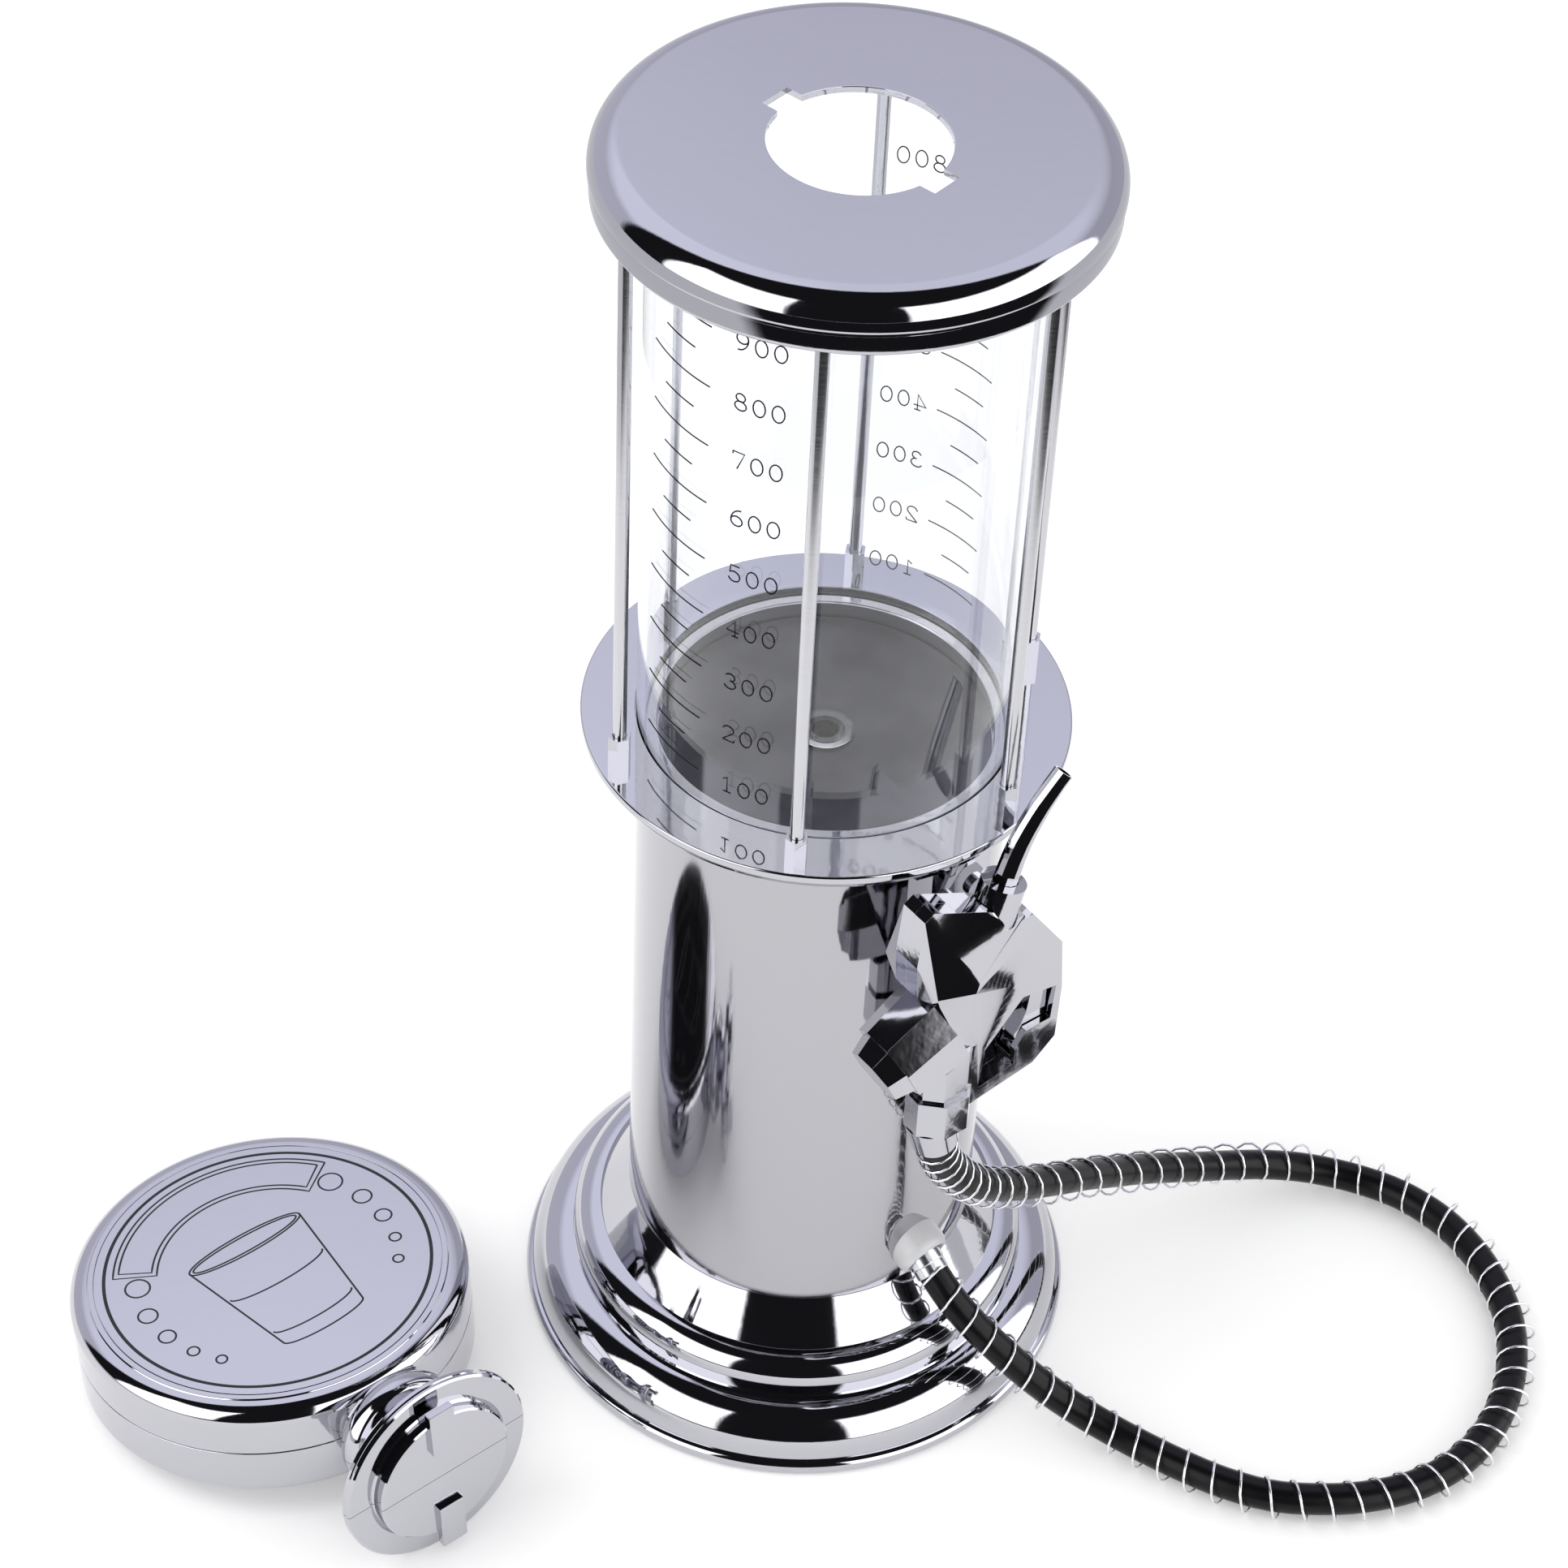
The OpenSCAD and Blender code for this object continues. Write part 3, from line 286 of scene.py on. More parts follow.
def turned(outline, steps=192):
    """A body turned round Z from a closed outline of (radius, height) points in mm."""
    shape = bmesh.new()
    ring = [shape.verts.new((r * MM, 0, z * MM)) for r, z in outline]
    edges = [shape.edges.new(pair) for pair in zip(ring, ring[1:] + ring[:1])]
    bmesh.ops.spin(shape, geom=ring + edges, cent=(0, 0, 0), axis=(0, 0, 1), angle=2 * math.pi, steps=steps,
                   use_merge=True)
    bmesh.ops.remove_doubles(shape, verts=shape.verts, dist=1e-6)
    bmesh.ops.dissolve_degenerate(shape, dist=1e-7, edges=shape.edges)
    bmesh.ops.recalc_face_normals(shape, faces=shape.faces)
    return shape


def mesh_from(name, shape):
    """A finished bmesh shape as a mesh."""
    mesh = bpy.data.meshes.new(name)
    shape.to_mesh(mesh)
    shape.free()
    return mesh


def piece(name, shape, material, body, stands_for=()):
    """Makes a shape a piece of the pump that moves with a body and stands for some CAD nodes."""
    mesh = mesh_from(name, shape)
    mesh.shade_smooth()
    mesh.set_sharp_from_angle(angle=math.radians(35))
    obj = shown(name, mesh, material)
    even = obj.modifiers.new("even shading", "WEIGHTED_NORMAL")
    even.mode = "FACE_AREA"
    even.weight = 100
    even.keep_sharp = True
    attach(obj, body)
    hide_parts(*stands_for)
    return obj


def dress(material, *names):
    """Gives carried-over CAD nodes their finish."""
    for name in names:
        cad[name].data.materials.clear()
        cad[name].data.materials.append(material)


# Vacuum-metallised ABS: a clean cold mirror. The lacquer over it lies a little wavy, like fine orange peel.
chrome, tree = blank_material("metallised ABS, chrome")
place = add(tree, "ShaderNodeTexCoord")
peel = add(tree, "ShaderNodeTexNoise", inputs={
    "Vector": place.outputs["Object"], "Scale": grain(3.846), "Detail": 2})
dust = add(tree, "ShaderNodeTexNoise", inputs={
    "Vector": place.outputs["Object"], "Scale": grain(16.67), "Detail": 5})
gloss = add(tree, "ShaderNodeMapRange", inputs={
    "Value": dust.outputs[0], "To Min": 0.025, "To Max": 0.07})
skin = add(tree, "ShaderNodeBump", inputs={
    "Height": peel.outputs[0], "Strength": 0.06, "Distance": 0.2 * MM})
close_material(tree, add(tree, "ShaderNodeBsdfPrincipled", inputs={
    "Base Color": linear("#bebec4"), "Metallic": 1, "Roughness": gloss.outputs[0],
    "Normal": skin.outputs[0]}))

base_outline = (
    [(base_r - 0.8, 0.5), (base_r - 0.2, 1.1), (base_r, 1.8)]
    + arc((base_r - bead_w, bead_h), bead_w, bead_h - 0.5, 0, 80, 8)
    + arc((band_r, lip_h), base_r - bead_w - band_r, lower_step_h - lip_h, 0, 90, 24)
    + [(band_r + 0.3, lower_step_h + 0.1), (band_r, lower_step_h + 0.5)]
    + arc((crease_r, band_top), band_r - crease_r, crease_h - band_top, 0, 90, 18)
    + [(crease_r - 0.1, crease_h), (column_r, base_h)]
    + [(column_r - base_wall, base_h), (column_r - base_wall, crease_h)]
    + [(crease_r - base_wall, crease_h - base_wall), (band_r - base_wall, lower_step_h - base_wall)]
    + [(base_r - base_wall - 0.8, 0.5)]
)
piece("base_shell_chrome", turned(base_outline, 256), chrome, "machine", ["base_shell"])

# Black EVA foam pad: matt, with fine closed cells.
foam, tree = blank_material("EVA foam, black")
place = add(tree, "ShaderNodeTexCoord")
cells = add(tree, "ShaderNodeTexVoronoi", inputs={
    "Vector": place.outputs["Object"], "Scale": grain(0.6667)})
skin = add(tree, "ShaderNodeBump", inputs={
    "Height": cells.outputs[0], "Strength": 0.3, "Distance": 0.2 * MM})
close_material(tree, add(tree, "ShaderNodeBsdfPrincipled", inputs={
    "Base Color": linear("#222225"), "Roughness": 0.85, "Normal": skin.outputs[0]}))
dress(foam, "base_pad")

# Moulded polystyrene bottom plate: dull black with a spark-eroded grain.
plate_black, tree = blank_material("moulded polystyrene, black")
place = add(tree, "ShaderNodeTexCoord")
pits = add(tree, "ShaderNodeTexNoise", inputs={
    "Vector": place.outputs["Object"], "Scale": grain(0.5556), "Detail": 2})
skin = add(tree, "ShaderNodeBump", inputs={
    "Height": pits.outputs[0], "Strength": 0.2, "Distance": 0.1 * MM})
close_material(tree, add(tree, "ShaderNodeBsdfPrincipled", inputs={
    "Base Color": linear("#2a2a2c"), "Roughness": 0.55, "Normal": skin.outputs[0]}))
dress(plate_black, "bottom_plate")

# Cast iron weight: dark grey, rough from the sand.
iron, tree = blank_material("cast iron")
place = add(tree, "ShaderNodeTexCoord")
sand = add(tree, "ShaderNodeTexNoise", inputs={
    "Vector": place.outputs["Object"], "Scale": grain(1.4286), "Detail": 4})
skin = add(tree, "ShaderNodeBump", inputs={
    "Height": sand.outputs[0], "Strength": 0.5, "Distance": 0.3 * MM})
close_material(tree, add(tree, "ShaderNodeBsdfPrincipled", inputs={
    "Base Color": linear("#4a4a4d"), "Metallic": 1, "Roughness": 0.6, "Normal": skin.outputs[0]}))
dress(iron, "base_weight")

# Zinc-plated steel screws and nuts: bright, with a faint bluish cast and soft wear.
zinc, tree = blank_material("zinc-plated steel")
place = add(tree, "ShaderNodeTexCoord")
wear = add(tree, "ShaderNodeTexNoise", inputs={
    "Vector": place.outputs["Object"], "Scale": grain(2), "Detail": 4})
gloss = add(tree, "ShaderNodeMapRange", inputs={"Value": wear.outputs[0], "To Min": 0.12, "To Max": 0.3})
close_material(tree, add(tree, "ShaderNodeBsdfPrincipled", inputs={
    "Base Color": linear("#d4d6dc"), "Metallic": 1, "Roughness": gloss.outputs[0]}))
dress(zinc, "bottom_screws", "gland_nut", "drain_nut", "rod_nuts", "bracket_screws", "topper_screws")

# ------------------------------------------------------------------------------------------- Column
# The column is a drawn tube of stainless steel, polished lengthwise, that stands on the base's spigot.
# The gland is a pale nylon boss that its nut pulls against the tube from inside.
column_top = 203.8
column_wall = 1.5

# Polished stainless steel: a soft grey mirror, with faint straight polishing lines along the tube.
steel, tree = blank_material("polished stainless steel")
place = add(tree, "ShaderNodeTexCoord")
along = add(tree, "ShaderNodeMapping", inputs={
    "Vector": place.outputs["Object"], "Scale": (grain(0.6667), grain(0.6667), grain(83.33))})
lines = add(tree, "ShaderNodeTexNoise", inputs={"Vector": along.outputs[0], "Scale": 1, "Detail": 3})
gloss = add(tree, "ShaderNodeMapRange", inputs={"Value": lines.outputs[0], "To Min": 0.03, "To Max": 0.1})
skin = add(tree, "ShaderNodeBump", inputs={
    "Height": lines.outputs[0], "Strength": 0.05, "Distance": 0.1 * MM})
close_material(tree, add(tree, "ShaderNodeBsdfPrincipled", inputs={
    "Base Color": linear("#b4b3b8"), "Metallic": 1, "Roughness": gloss.outputs[0],
    "Normal": skin.outputs[0]}))

column_in = column_r - column_wall
column_foot = base_h + 0.05
column_outline = rounded([
    (column_r, column_foot, 0.3), (column_r, column_top), (column_in, column_top), (column_in, column_foot)])
piece("column_tube", turned(column_outline, 256), steel, "machine", ["column"])

# Moulded nylon: milky white, a little translucent, soft gloss.
nylon, tree = blank_material("moulded nylon, natural")
place = add(tree, "ShaderNodeTexCoord")
cloud = add(tree, "ShaderNodeTexNoise", inputs={
    "Vector": place.outputs["Object"], "Scale": grain(6.667), "Detail": 3})
milk = add(tree, "ShaderNodeValToRGB", inputs={"Fac": cloud.outputs[0]})
milk.color_ramp.elements[0].color = linear("#cfcfd2")
milk.color_ramp.elements[1].color = linear("#e4e4e6")
close_material(tree, add(tree, "ShaderNodeBsdfPrincipled", inputs={
    "Base Color": milk.outputs[0], "Roughness": 0.32, "IOR": 1.53, "Subsurface Weight": 0.2,
    "Subsurface Radius": (2 * MM, 2 * MM, 2 * MM)}))

# The boss is a turned dome on a root inside the column. The washer is a two-step ring round the hose's end,
# and both are measured out from the column's wall.
gland_at = Vector((2.9, -46.16, 50))
hose_tilt = math.radians(35)
boss_tilt = math.radians(20)
gland_turn = math.radians(-86.4)
boss_r = 7.4
boss_in = 2.5
boss_root = -9
boss_flat_r = 5.9
boss_round_h = 1.6
boss_rise = 3.2
boss_mouth = [(5.5, 4.6), (5.4, 2.4), (boss_in, 2.4)]
washer_in = 4.25
washer_r = 4.9
washer_len = 6.2
ferrule_r = 4.6
ferrule_len = 9.2


def at_gland(shape, tilt):
    """The shape moved from the Z axis to the gland's, its height measured out from the tube."""
    level = Vector((math.cos(gland_turn), math.sin(gland_turn), 0))
    out = level * math.cos(tilt) - Vector((0, 0, math.sin(tilt)))
    place = Matrix.Translation(gland_at * MM) @ out.to_track_quat("Z", "Y").to_matrix().to_4x4()
    bmesh.ops.transform(shape, matrix=place, verts=shape.verts)
    return shape


boss_outline = (
    [(boss_in, boss_root), (boss_r, boss_root)]
    + arc((boss_flat_r, boss_round_h), boss_r - boss_flat_r, boss_rise, 0, 90, 14)
    + boss_mouth
)
boss_shape = at_gland(turned(boss_outline, 96), boss_tilt)
piece("hose_gland_boss", boss_shape, nylon, "machine", ["hose_gland"])
washer_outline = rounded([
    (washer_r, 0), (washer_r, washer_len, 0.3), (ferrule_r, washer_len + 0.2, 0.2),
    (ferrule_r, ferrule_len, 0.3), (washer_in, ferrule_len), (washer_in, 0)], 3)
washer_shape = at_gland(turned(washer_outline, 96), hose_tilt)
piece("hose_gland_ring", washer_shape, zinc, "machine", ["hose_gland"])

# Unseen drain hose inside the column: the same black PVC as the outer one.
dress(hose_black, "inner_hose")

# ---------------------------------------------------------------------------------- Collar and tank
# The collar is a metallised moulding that plugs into the column and takes the tank in a groove. The tank
# is a clear acrylic tube with a printed scale, sealed by rubber rings; its steel floor falls to a drain.
collar_r = 60.1
collar_top = 208.3
rim_top = 207
tank_r = 46.5
tank_in = 44.3
floor_r = 41
floor_seat_h = 201.2
drain_r = 7.2
tank_foot = 206.1
tank_top = 369

spigot_in = 42.45
spigot_r = 44.45
spigot_foot = 192
groove_h = 205.3
groove_gap = 0.2
seat_in = 38
seat_under = 198.5
collar_outline = rounded([
    (spigot_in, spigot_foot), (spigot_r, spigot_foot), (spigot_r, column_top),
    (collar_r - 1.6, column_top, 0.8), (collar_r, column_top + 2.4, 1.2), (collar_r, collar_top, 0.5),
    (tank_r + groove_gap, collar_top, 0.25), (tank_r + groove_gap, groove_h),
    (tank_in - groove_gap, groove_h), (tank_in - groove_gap, rim_top, 0.25), (floor_r + 0.3, rim_top, 0.6),
    (floor_r + 0.3, floor_seat_h), (seat_in, floor_seat_h), (seat_in, seat_under), (spigot_in, seat_under)])
piece("collar_chrome", turned(collar_outline, 256), chrome, "machine", ["collar"])

# Silicone rubber seals: translucent grey, matt.
rubber, tree = blank_material("silicone rubber, grey")
place = add(tree, "ShaderNodeTexCoord")
bloom = add(tree, "ShaderNodeTexNoise", inputs={
    "Vector": place.outputs["Object"], "Scale": grain(2.5), "Detail": 3})
gloss = add(tree, "ShaderNodeMapRange", inputs={
    "Value": bloom.outputs[0], "To Min": 0.45, "To Max": 0.65})
close_material(tree, add(tree, "ShaderNodeBsdfPrincipled", inputs={
    "Base Color": linear("#b9bac4"), "Roughness": gloss.outputs[0], "IOR": 1.41}))
dress(rubber, "lower_gasket", "upper_gasket", "valve_seal")

# Rolled stainless steel of the tank's floor: dark grey, in soft blotches a little lighter or darker, and
# rougher or smoother with them.
floor_steel, tree = blank_material("rolled stainless steel, dull")
place = add(tree, "ShaderNodeTexCoord")
# Random blotches some 22 mm across shift the floor between its two greys and its two roughnesses.
floor_blotches = add(tree, "ShaderNodeTexNoise", inputs={
    "Vector": place.outputs["Object"], "Scale": grain(22.22), "Detail": 4})
shade = add(tree, "ShaderNodeValToRGB", inputs={"Fac": floor_blotches.outputs[0]})
shade.color_ramp.elements[0].position = 0.35
shade.color_ramp.elements[0].color = linear("#3e3e43")
shade.color_ramp.elements[1].position = 0.7
shade.color_ramp.elements[1].color = linear("#5e5e64")
gloss = add(tree, "ShaderNodeMapRange", inputs={
    "Value": floor_blotches.outputs[0], "To Min": 0.22, "To Max": 0.42})
close_material(tree, add(tree, "ShaderNodeBsdfPrincipled", inputs={
    "Base Color": shade.outputs[0], "Metallic": 1, "Roughness": gloss.outputs[0]}))

drain_hole_r = 5.1
sump_r = 8.2
sump_under = 199.6
sump_h = 201.1
floor_outline = rounded([
    (drain_hole_r, sump_under), (sump_r, sump_under), (seat_in, floor_seat_h), (floor_r, floor_seat_h),
    (floor_r, 202.7, 0.5), (36, 202.5, 6), (sump_r, sump_h), (drain_hole_r, sump_h)])
piece("tank_floor_plate", turned(floor_outline, 192), floor_steel, "machine", ["tank_floor"])

# Clear acrylic of the tank: water-clear, polished inside and out.
acrylic, tree = blank_material("clear acrylic")
place = add(tree, "ShaderNodeTexCoord")
draw = add(tree, "ShaderNodeTexNoise", inputs={
    "Vector": place.outputs["Object"], "Scale": grain(33.33), "Detail": 1})
gloss = add(tree, "ShaderNodeMapRange", inputs={"Value": draw.outputs[0], "To Min": 0.0, "To Max": 0.01})
close_material(tree, add(tree, "ShaderNodeBsdfPrincipled", inputs={
    "Base Color": linear("#fbfcff"), "Roughness": gloss.outputs[0], "IOR": 1.49, "Transmission Weight": 1}))

tube_round = 0.3
tube_outline = rounded([
    (tank_r, tank_foot, tube_round), (tank_r, tank_top, tube_round), (tank_in, tank_top, tube_round),
    (tank_in, tank_foot, tube_round)], 2)
piece("tank_tube_clear", turned(tube_outline, 192), acrylic, "machine", ["tank_tube"])

drain_bore_r = 3
drain_pipe_r = 5
drain_foot = 186.1
drain_outline = rounded([
    (drain_bore_r, drain_foot), (drain_pipe_r, drain_foot), (drain_pipe_r, sump_h), (drain_r, sump_h + 0.05),
    (drain_r, 201.8, 0.3), (drain_r - 1.4, 202.5, 0.5), (drain_bore_r + 0.4, 201.9, 0.4),
    (drain_bore_r, 201)])
piece("drain_ring_clear", turned(drain_outline, 96), acrylic, "machine", ["drain_spigot"])

# The scale is printed on the tube in dark grey: thin figures from 100 to 900, a long line at each and a
# short one half-way. It stands twice, so that it reads from both sides. Each scale gives the angle of its
# figures' middle, the angles of its long and short lines, the height of its 100 and the step to the next.
figure_h = 4.55
figure_w = 5.9
figure_gap = 4.55
figure_middle = 0.3
stroke = 0.36
ink_rise = 0.02
scales = [
    (-153, (-169, -195), (-175, -188), 218.3, 16.23),
    (31.7, (20.2, -0.8), (14.2, 2.2), 219.7, 17.2),
]


def oval(cx, cy, rx, ry, start=0, end=360):
    """Points of an oval stroke of a figure, whose height is 1."""
    return arc((cx, cy), rx, ry, start, end, 16)


figures = {
    "0": [oval(0.31, 0.5, 0.25, 0.5)],
    "1": [[(0.14, 0.82), (0.33, 1), (0.33, 0)], [(0.16, 0), (0.5, 0)]],
    "2": [oval(0.3, 0.73, 0.24, 0.27, 170, -40) + [(0.06, 0.03)], [(0.05, 0), (0.56, 0), (0.58, 0.15)]],
    "3": [oval(0.29, 0.76, 0.21, 0.24, 160, -90) + oval(0.28, 0.27, 0.26, 0.27, 80, -160)],
    "4": [[(0.43, 0), (0.43, 1), (0.03, 0.3), (0.6, 0.3)], [(0.28, 0), (0.57, 0)]],
    "5": [[(0.52, 1), (0.14, 1), (0.1, 0.55)] + oval(0.29, 0.32, 0.26, 0.32, 135, -160)],
    "6": [oval(0.5, 0.32, 0.44, 0.68, 90, 180), oval(0.31, 0.3, 0.25, 0.3)],
    "7": [[(0.05, 0.84), (0.05, 1), (0.56, 1), (0.25, 0)]],
    "8": [oval(0.3, 0.76, 0.2, 0.24), oval(0.3, 0.27, 0.25, 0.27)],
    "9": [oval(0.1, 0.68, 0.44, 0.68, -90, 0), oval(0.29, 0.7, 0.25, 0.3)],
}


def on_tank(angle, height):
    """A point just proud of the tube's outside, in mm."""
    turn = math.radians(angle)
    return Vector((math.cos(turn) * (tank_r + ink_rise), math.sin(turn) * (tank_r + ink_rise), height))


# Screen-printed ink: dark grey, matt, thin enough to look slightly soft.
ink, tree = blank_material("screen-printed ink, dark grey")
place = add(tree, "ShaderNodeTexCoord")
speck = add(tree, "ShaderNodeTexNoise", inputs={
    "Vector": place.outputs["Object"], "Scale": grain(0.4), "Detail": 2})
tone = add(tree, "ShaderNodeValToRGB", inputs={"Fac": speck.outputs[0]})
tone.color_ramp.elements[0].color = linear("#101013")
tone.color_ramp.elements[1].color = linear("#242429")
close_material(tree, add(tree, "ShaderNodeBsdfPrincipled", inputs={
    "Base Color": tone.outputs[0], "Roughness": 0.85, "Specular IOR Level": 0.15}))


def tank_strokes(word, middle, foot):
    """The strokes of a number whose middle is at an angle round the tube and whose foot is at a height."""
    left = -figure_gap * (len(word) - 1) / 2 - figure_w * figure_middle
    strokes = []
    for i, digit in enumerate(word):
        for line in figures[digit]:
            flat = [(left + figure_gap * i + x * figure_w, foot + y * figure_h) for x, y in line]
            strokes.append([on_tank(middle + math.degrees(x / tank_r), y) for x, y in flat])
    return strokes


strokes = []
for middle, long_line, short_line, first_h, step_h in scales:
    for n in range(1, 10):
        height = first_h + step_h * (n - 1)
        strokes += tank_strokes(str(n * 100), middle, height - figure_h / 2)
        for (start, end), at in ((long_line, height), (short_line, height + step_h / 2)):
            strokes.append([on_tank(start + (end - start) * k / 12, at) for k in range(13)])
scale_print = shown("tank_scale_print", line_mesh("tank_scale_print", strokes, stroke, 1), ink)
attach(scale_print, "machine")

# --------------------------------------------------------------------------------- Cap and tie rods
# The cap is a metallised moulding with a fat rolled rim over a thin lip. Its filling hole has two bayonet
# notches for the topper. Six steel rods, screwed into the collar, hold cap and tank together.
cap_r = 59.4
cap_roll = 7
cap_face_r = cap_r - cap_roll
cap_top = 373.9
cap_t = 1.6
cap_roll_h = cap_top - cap_roll
cap_foot = 359.9
fill_r = 20.6
notch_w = 8.4
notch_depth = 4
notch_angle = -78
cap_lip_r = cap_r - 0.8

cap_outline = (
    [(fill_r, cap_top - 0.3), (fill_r + 0.1, cap_top - 0.1), (fill_r + 0.3, cap_top)]
    + arc((cap_face_r, cap_roll_h), cap_roll, cap_roll, 90, -8, 26)
    + [(cap_lip_r, cap_roll_h - 1.6), (cap_lip_r, cap_roll_h - 2.2), (cap_lip_r + 0.35, cap_roll_h - 2.8)]
    + [(cap_lip_r + 0.35, cap_foot + 0.8), (cap_lip_r, cap_foot + 0.2), (cap_lip_r - 0.5, cap_foot)]
    + [(cap_lip_r - cap_t, cap_foot)]
    + arc((cap_face_r, cap_roll_h), cap_roll - cap_t, cap_roll - cap_t, 0, 90, 12)
    + [(fill_r, cap_top - cap_t)]
)


def box_shape(size, middle, turn=None):
    """A box of a size in mm whose middle lies at a point, turned round the origin by a matrix."""
    shape = bmesh.new()
    bmesh.ops.create_cube(shape, size=1, matrix=Matrix.Diagonal([x * MM for x in size] + [1]))
    bmesh.ops.translate(shape, vec=Vector(middle) * MM, verts=shape.verts)
    if turn:
        bmesh.ops.transform(shape, matrix=turn, verts=shape.verts)
    return shape


def sketch_object(shape):
    """A passing object that holds a shape while a modifier works on it."""
    obj = bpy.data.objects.new("sketch", mesh_from("sketch", shape))
    scene.collection.objects.link(obj)
    return obj


def cut_away(shape, *cutters):
    """The shape with each cutter's room taken out of it."""
    body = sketch_object(shape)
    tools = [sketch_object(cutter) for cutter in cutters]
    for tool in tools:
        cut = body.modifiers.new("cut", "BOOLEAN")
        cut.object = tool
        cut.operation = "DIFFERENCE"
        cut.solver = "EXACT"
    bpy.context.view_layer.update()
    left = bmesh.new()
    left.from_object(body, bpy.context.evaluated_depsgraph_get())
    for obj in [body] + tools:
        bpy.data.objects.remove(obj)
    return left


notches = [
    box_shape((fill_r + notch_depth, notch_w, cap_t * 4), ((fill_r + notch_depth) / 2, 0, cap_top),
              Matrix.Rotation(math.radians(notch_angle + half), 4, "Z"))
    for half in (0, 180)
]
cap_shape = cut_away(turned(cap_outline, 256), *notches)
piece("top_cap_chrome", cap_shape, chrome, "machine", ["top_cap"])
dress(chrome, "rod_plate", "rod_feet")

# Ground and polished steel rod: bright, with fine turning lines round it.
rod_bright, tree = blank_material("polished steel rod")
place = add(tree, "ShaderNodeTexCoord")
across_rod = add(tree, "ShaderNodeMapping", inputs={
    "Vector": place.outputs["Object"], "Scale": (grain(16.67), grain(16.67), grain(0.4))})
rings = add(tree, "ShaderNodeTexNoise", inputs={"Vector": across_rod.outputs[0], "Scale": 1, "Detail": 2})
gloss = add(tree, "ShaderNodeMapRange", inputs={"Value": rings.outputs[0], "To Min": 0.1, "To Max": 0.22})
close_material(tree, add(tree, "ShaderNodeBsdfPrincipled", inputs={
    "Base Color": linear("#c9c9cd"), "Metallic": 1, "Roughness": gloss.outputs[0]}))
dress(rod_bright, *[f"tie_rod_{n}" for n in range(1, 7)])

# ------------------------------------------------------------------------------------------ Bracket
# The nozzle hangs on a hollow metallised block with a ledge under the collar, held by two screws. Its edges
# are a little round, as a mould leaves them.
edge_soft = 0.3
flat_angle = math.radians(0.6)


def merged_copy(name):
    """A CAD node copied as a clean shape, with its flat facets joined."""
    shape = bmesh.new()
    shape.from_mesh(cad[name].data)
    bmesh.ops.remove_doubles(shape, verts=shape.verts, dist=2e-6)
    bmesh.ops.dissolve_limit(shape, angle_limit=flat_angle, verts=shape.verts, edges=shape.edges)
    return shape


def moulded(name, shape, body, node):
    """A chrome piece whose sharp edges are rounded off a little."""
    obj = piece(name, shape, chrome, body, [node])
    edge = obj.modifiers.new("soft edges", "BEVEL")
    edge.width = edge_soft * MM
    edge.segments = 2
    edge.limit_method = "ANGLE"
    edge.angle_limit = math.radians(28)
    obj.modifiers.move(len(obj.modifiers) - 1, 0)


moulded("bracket_chrome", merged_copy("bracket"), "machine", "bracket")

# ------------------------------------------------------------------------------------------- Nozzle
# A filler nozzle in two metallised shells round the valve: an octagonal grip, a facetted body, the valve's
# tapered cap with its ring, the trigger in its guard, and a tapered spout in a nut.
nozzle_out = 65
nozzle_half_depth = 10
# Each corner (x, z) of the body's flat face, and where (x, depth, z) it goes.
face_moves = [
    ((-20, 199), (-16.4, 6, 192.3)), ((-7.6, 181), (-8.3, 8.5, 178.9)), ((-9, 174), (-10.8, 10, 177.2)),
    ((-13, 168.6), (-12.2, 8, 168)), ((-22.4, 182), (-22.9, 10, 181.9)),
]


def facetted(name, side):
    """A copy of a nozzle shell whose flat face is broken into facets that rise to a ridge."""
    shape = bmesh.new()
    shape.from_mesh(cad[name].data)
    bmesh.ops.remove_doubles(shape, verts=shape.verts, dist=2e-6)
    face_y = (side * nozzle_half_depth - nozzle_out) * MM
    for (old_x, old_z), (new_x, depth, new_z) in face_moves:
        for vert in shape.verts:
            old = Vector((old_x * MM, face_y, old_z * MM))
            if (vert.co - old).length < 0.5 * MM:
                vert.co = Vector((new_x, side * depth - nozzle_out, new_z)) * MM
    bmesh.ops.dissolve_limit(shape, angle_limit=flat_angle, verts=shape.verts, edges=shape.edges)
    return shape


moulded("nozzle_front_chrome", facetted("nozzle_front_shell", -1), "nozzle", "nozzle_front_shell")
moulded("nozzle_back_chrome", facetted("nozzle_back_shell", 1), "nozzle", "nozzle_back_shell")
moulded("valve_cap_chrome", merged_copy("valve_cap"), "nozzle", "valve_cap")
moulded("valve_ring_chrome", merged_copy("valve_ring"), "nozzle", "valve_ring")
moulded("trigger_chrome", merged_copy("trigger"), "trigger", "trigger")
dress(chrome, "spout_nut", "hose_fitting", "spout")
dress(rod_bright, "valve_stem", "trigger_pin", "valve_spring")

# ------------------------------------------------------------------------------------------- Topper
# The round topper is two metallised mouldings joined round the middle of its edge, with a turned neck and
# a foot flange whose plug and lugs fit the cap's hole. It is off, and lies face up on the table, tilted by
# the flange that props up its near end.
disc_r = 53
disc_t = 29.9
disc_round = 3
foot_dist = 75.3
foot_r = 27.7
foot_t = 3
plug_r = 19.8
plug_h = 3.4
lug_w = 7.6
neck_root = disc_r - 8
neck_len = foot_dist - foot_t - neck_root
foot_end = neck_len + foot_t
plug_end = foot_end + plug_h
topper_at = (-134, 55)
topper_turn = math.radians(-87.7)
rest_long = foot_dist + disc_r - disc_round
rest_rise = foot_r - disc_t / 2 + disc_round
topper_tilt = math.atan2(rest_rise, rest_long) - math.asin(disc_round / math.hypot(rest_long, rest_rise))
topper_z = foot_r * math.cos(topper_tilt) - foot_dist * math.sin(topper_tilt)
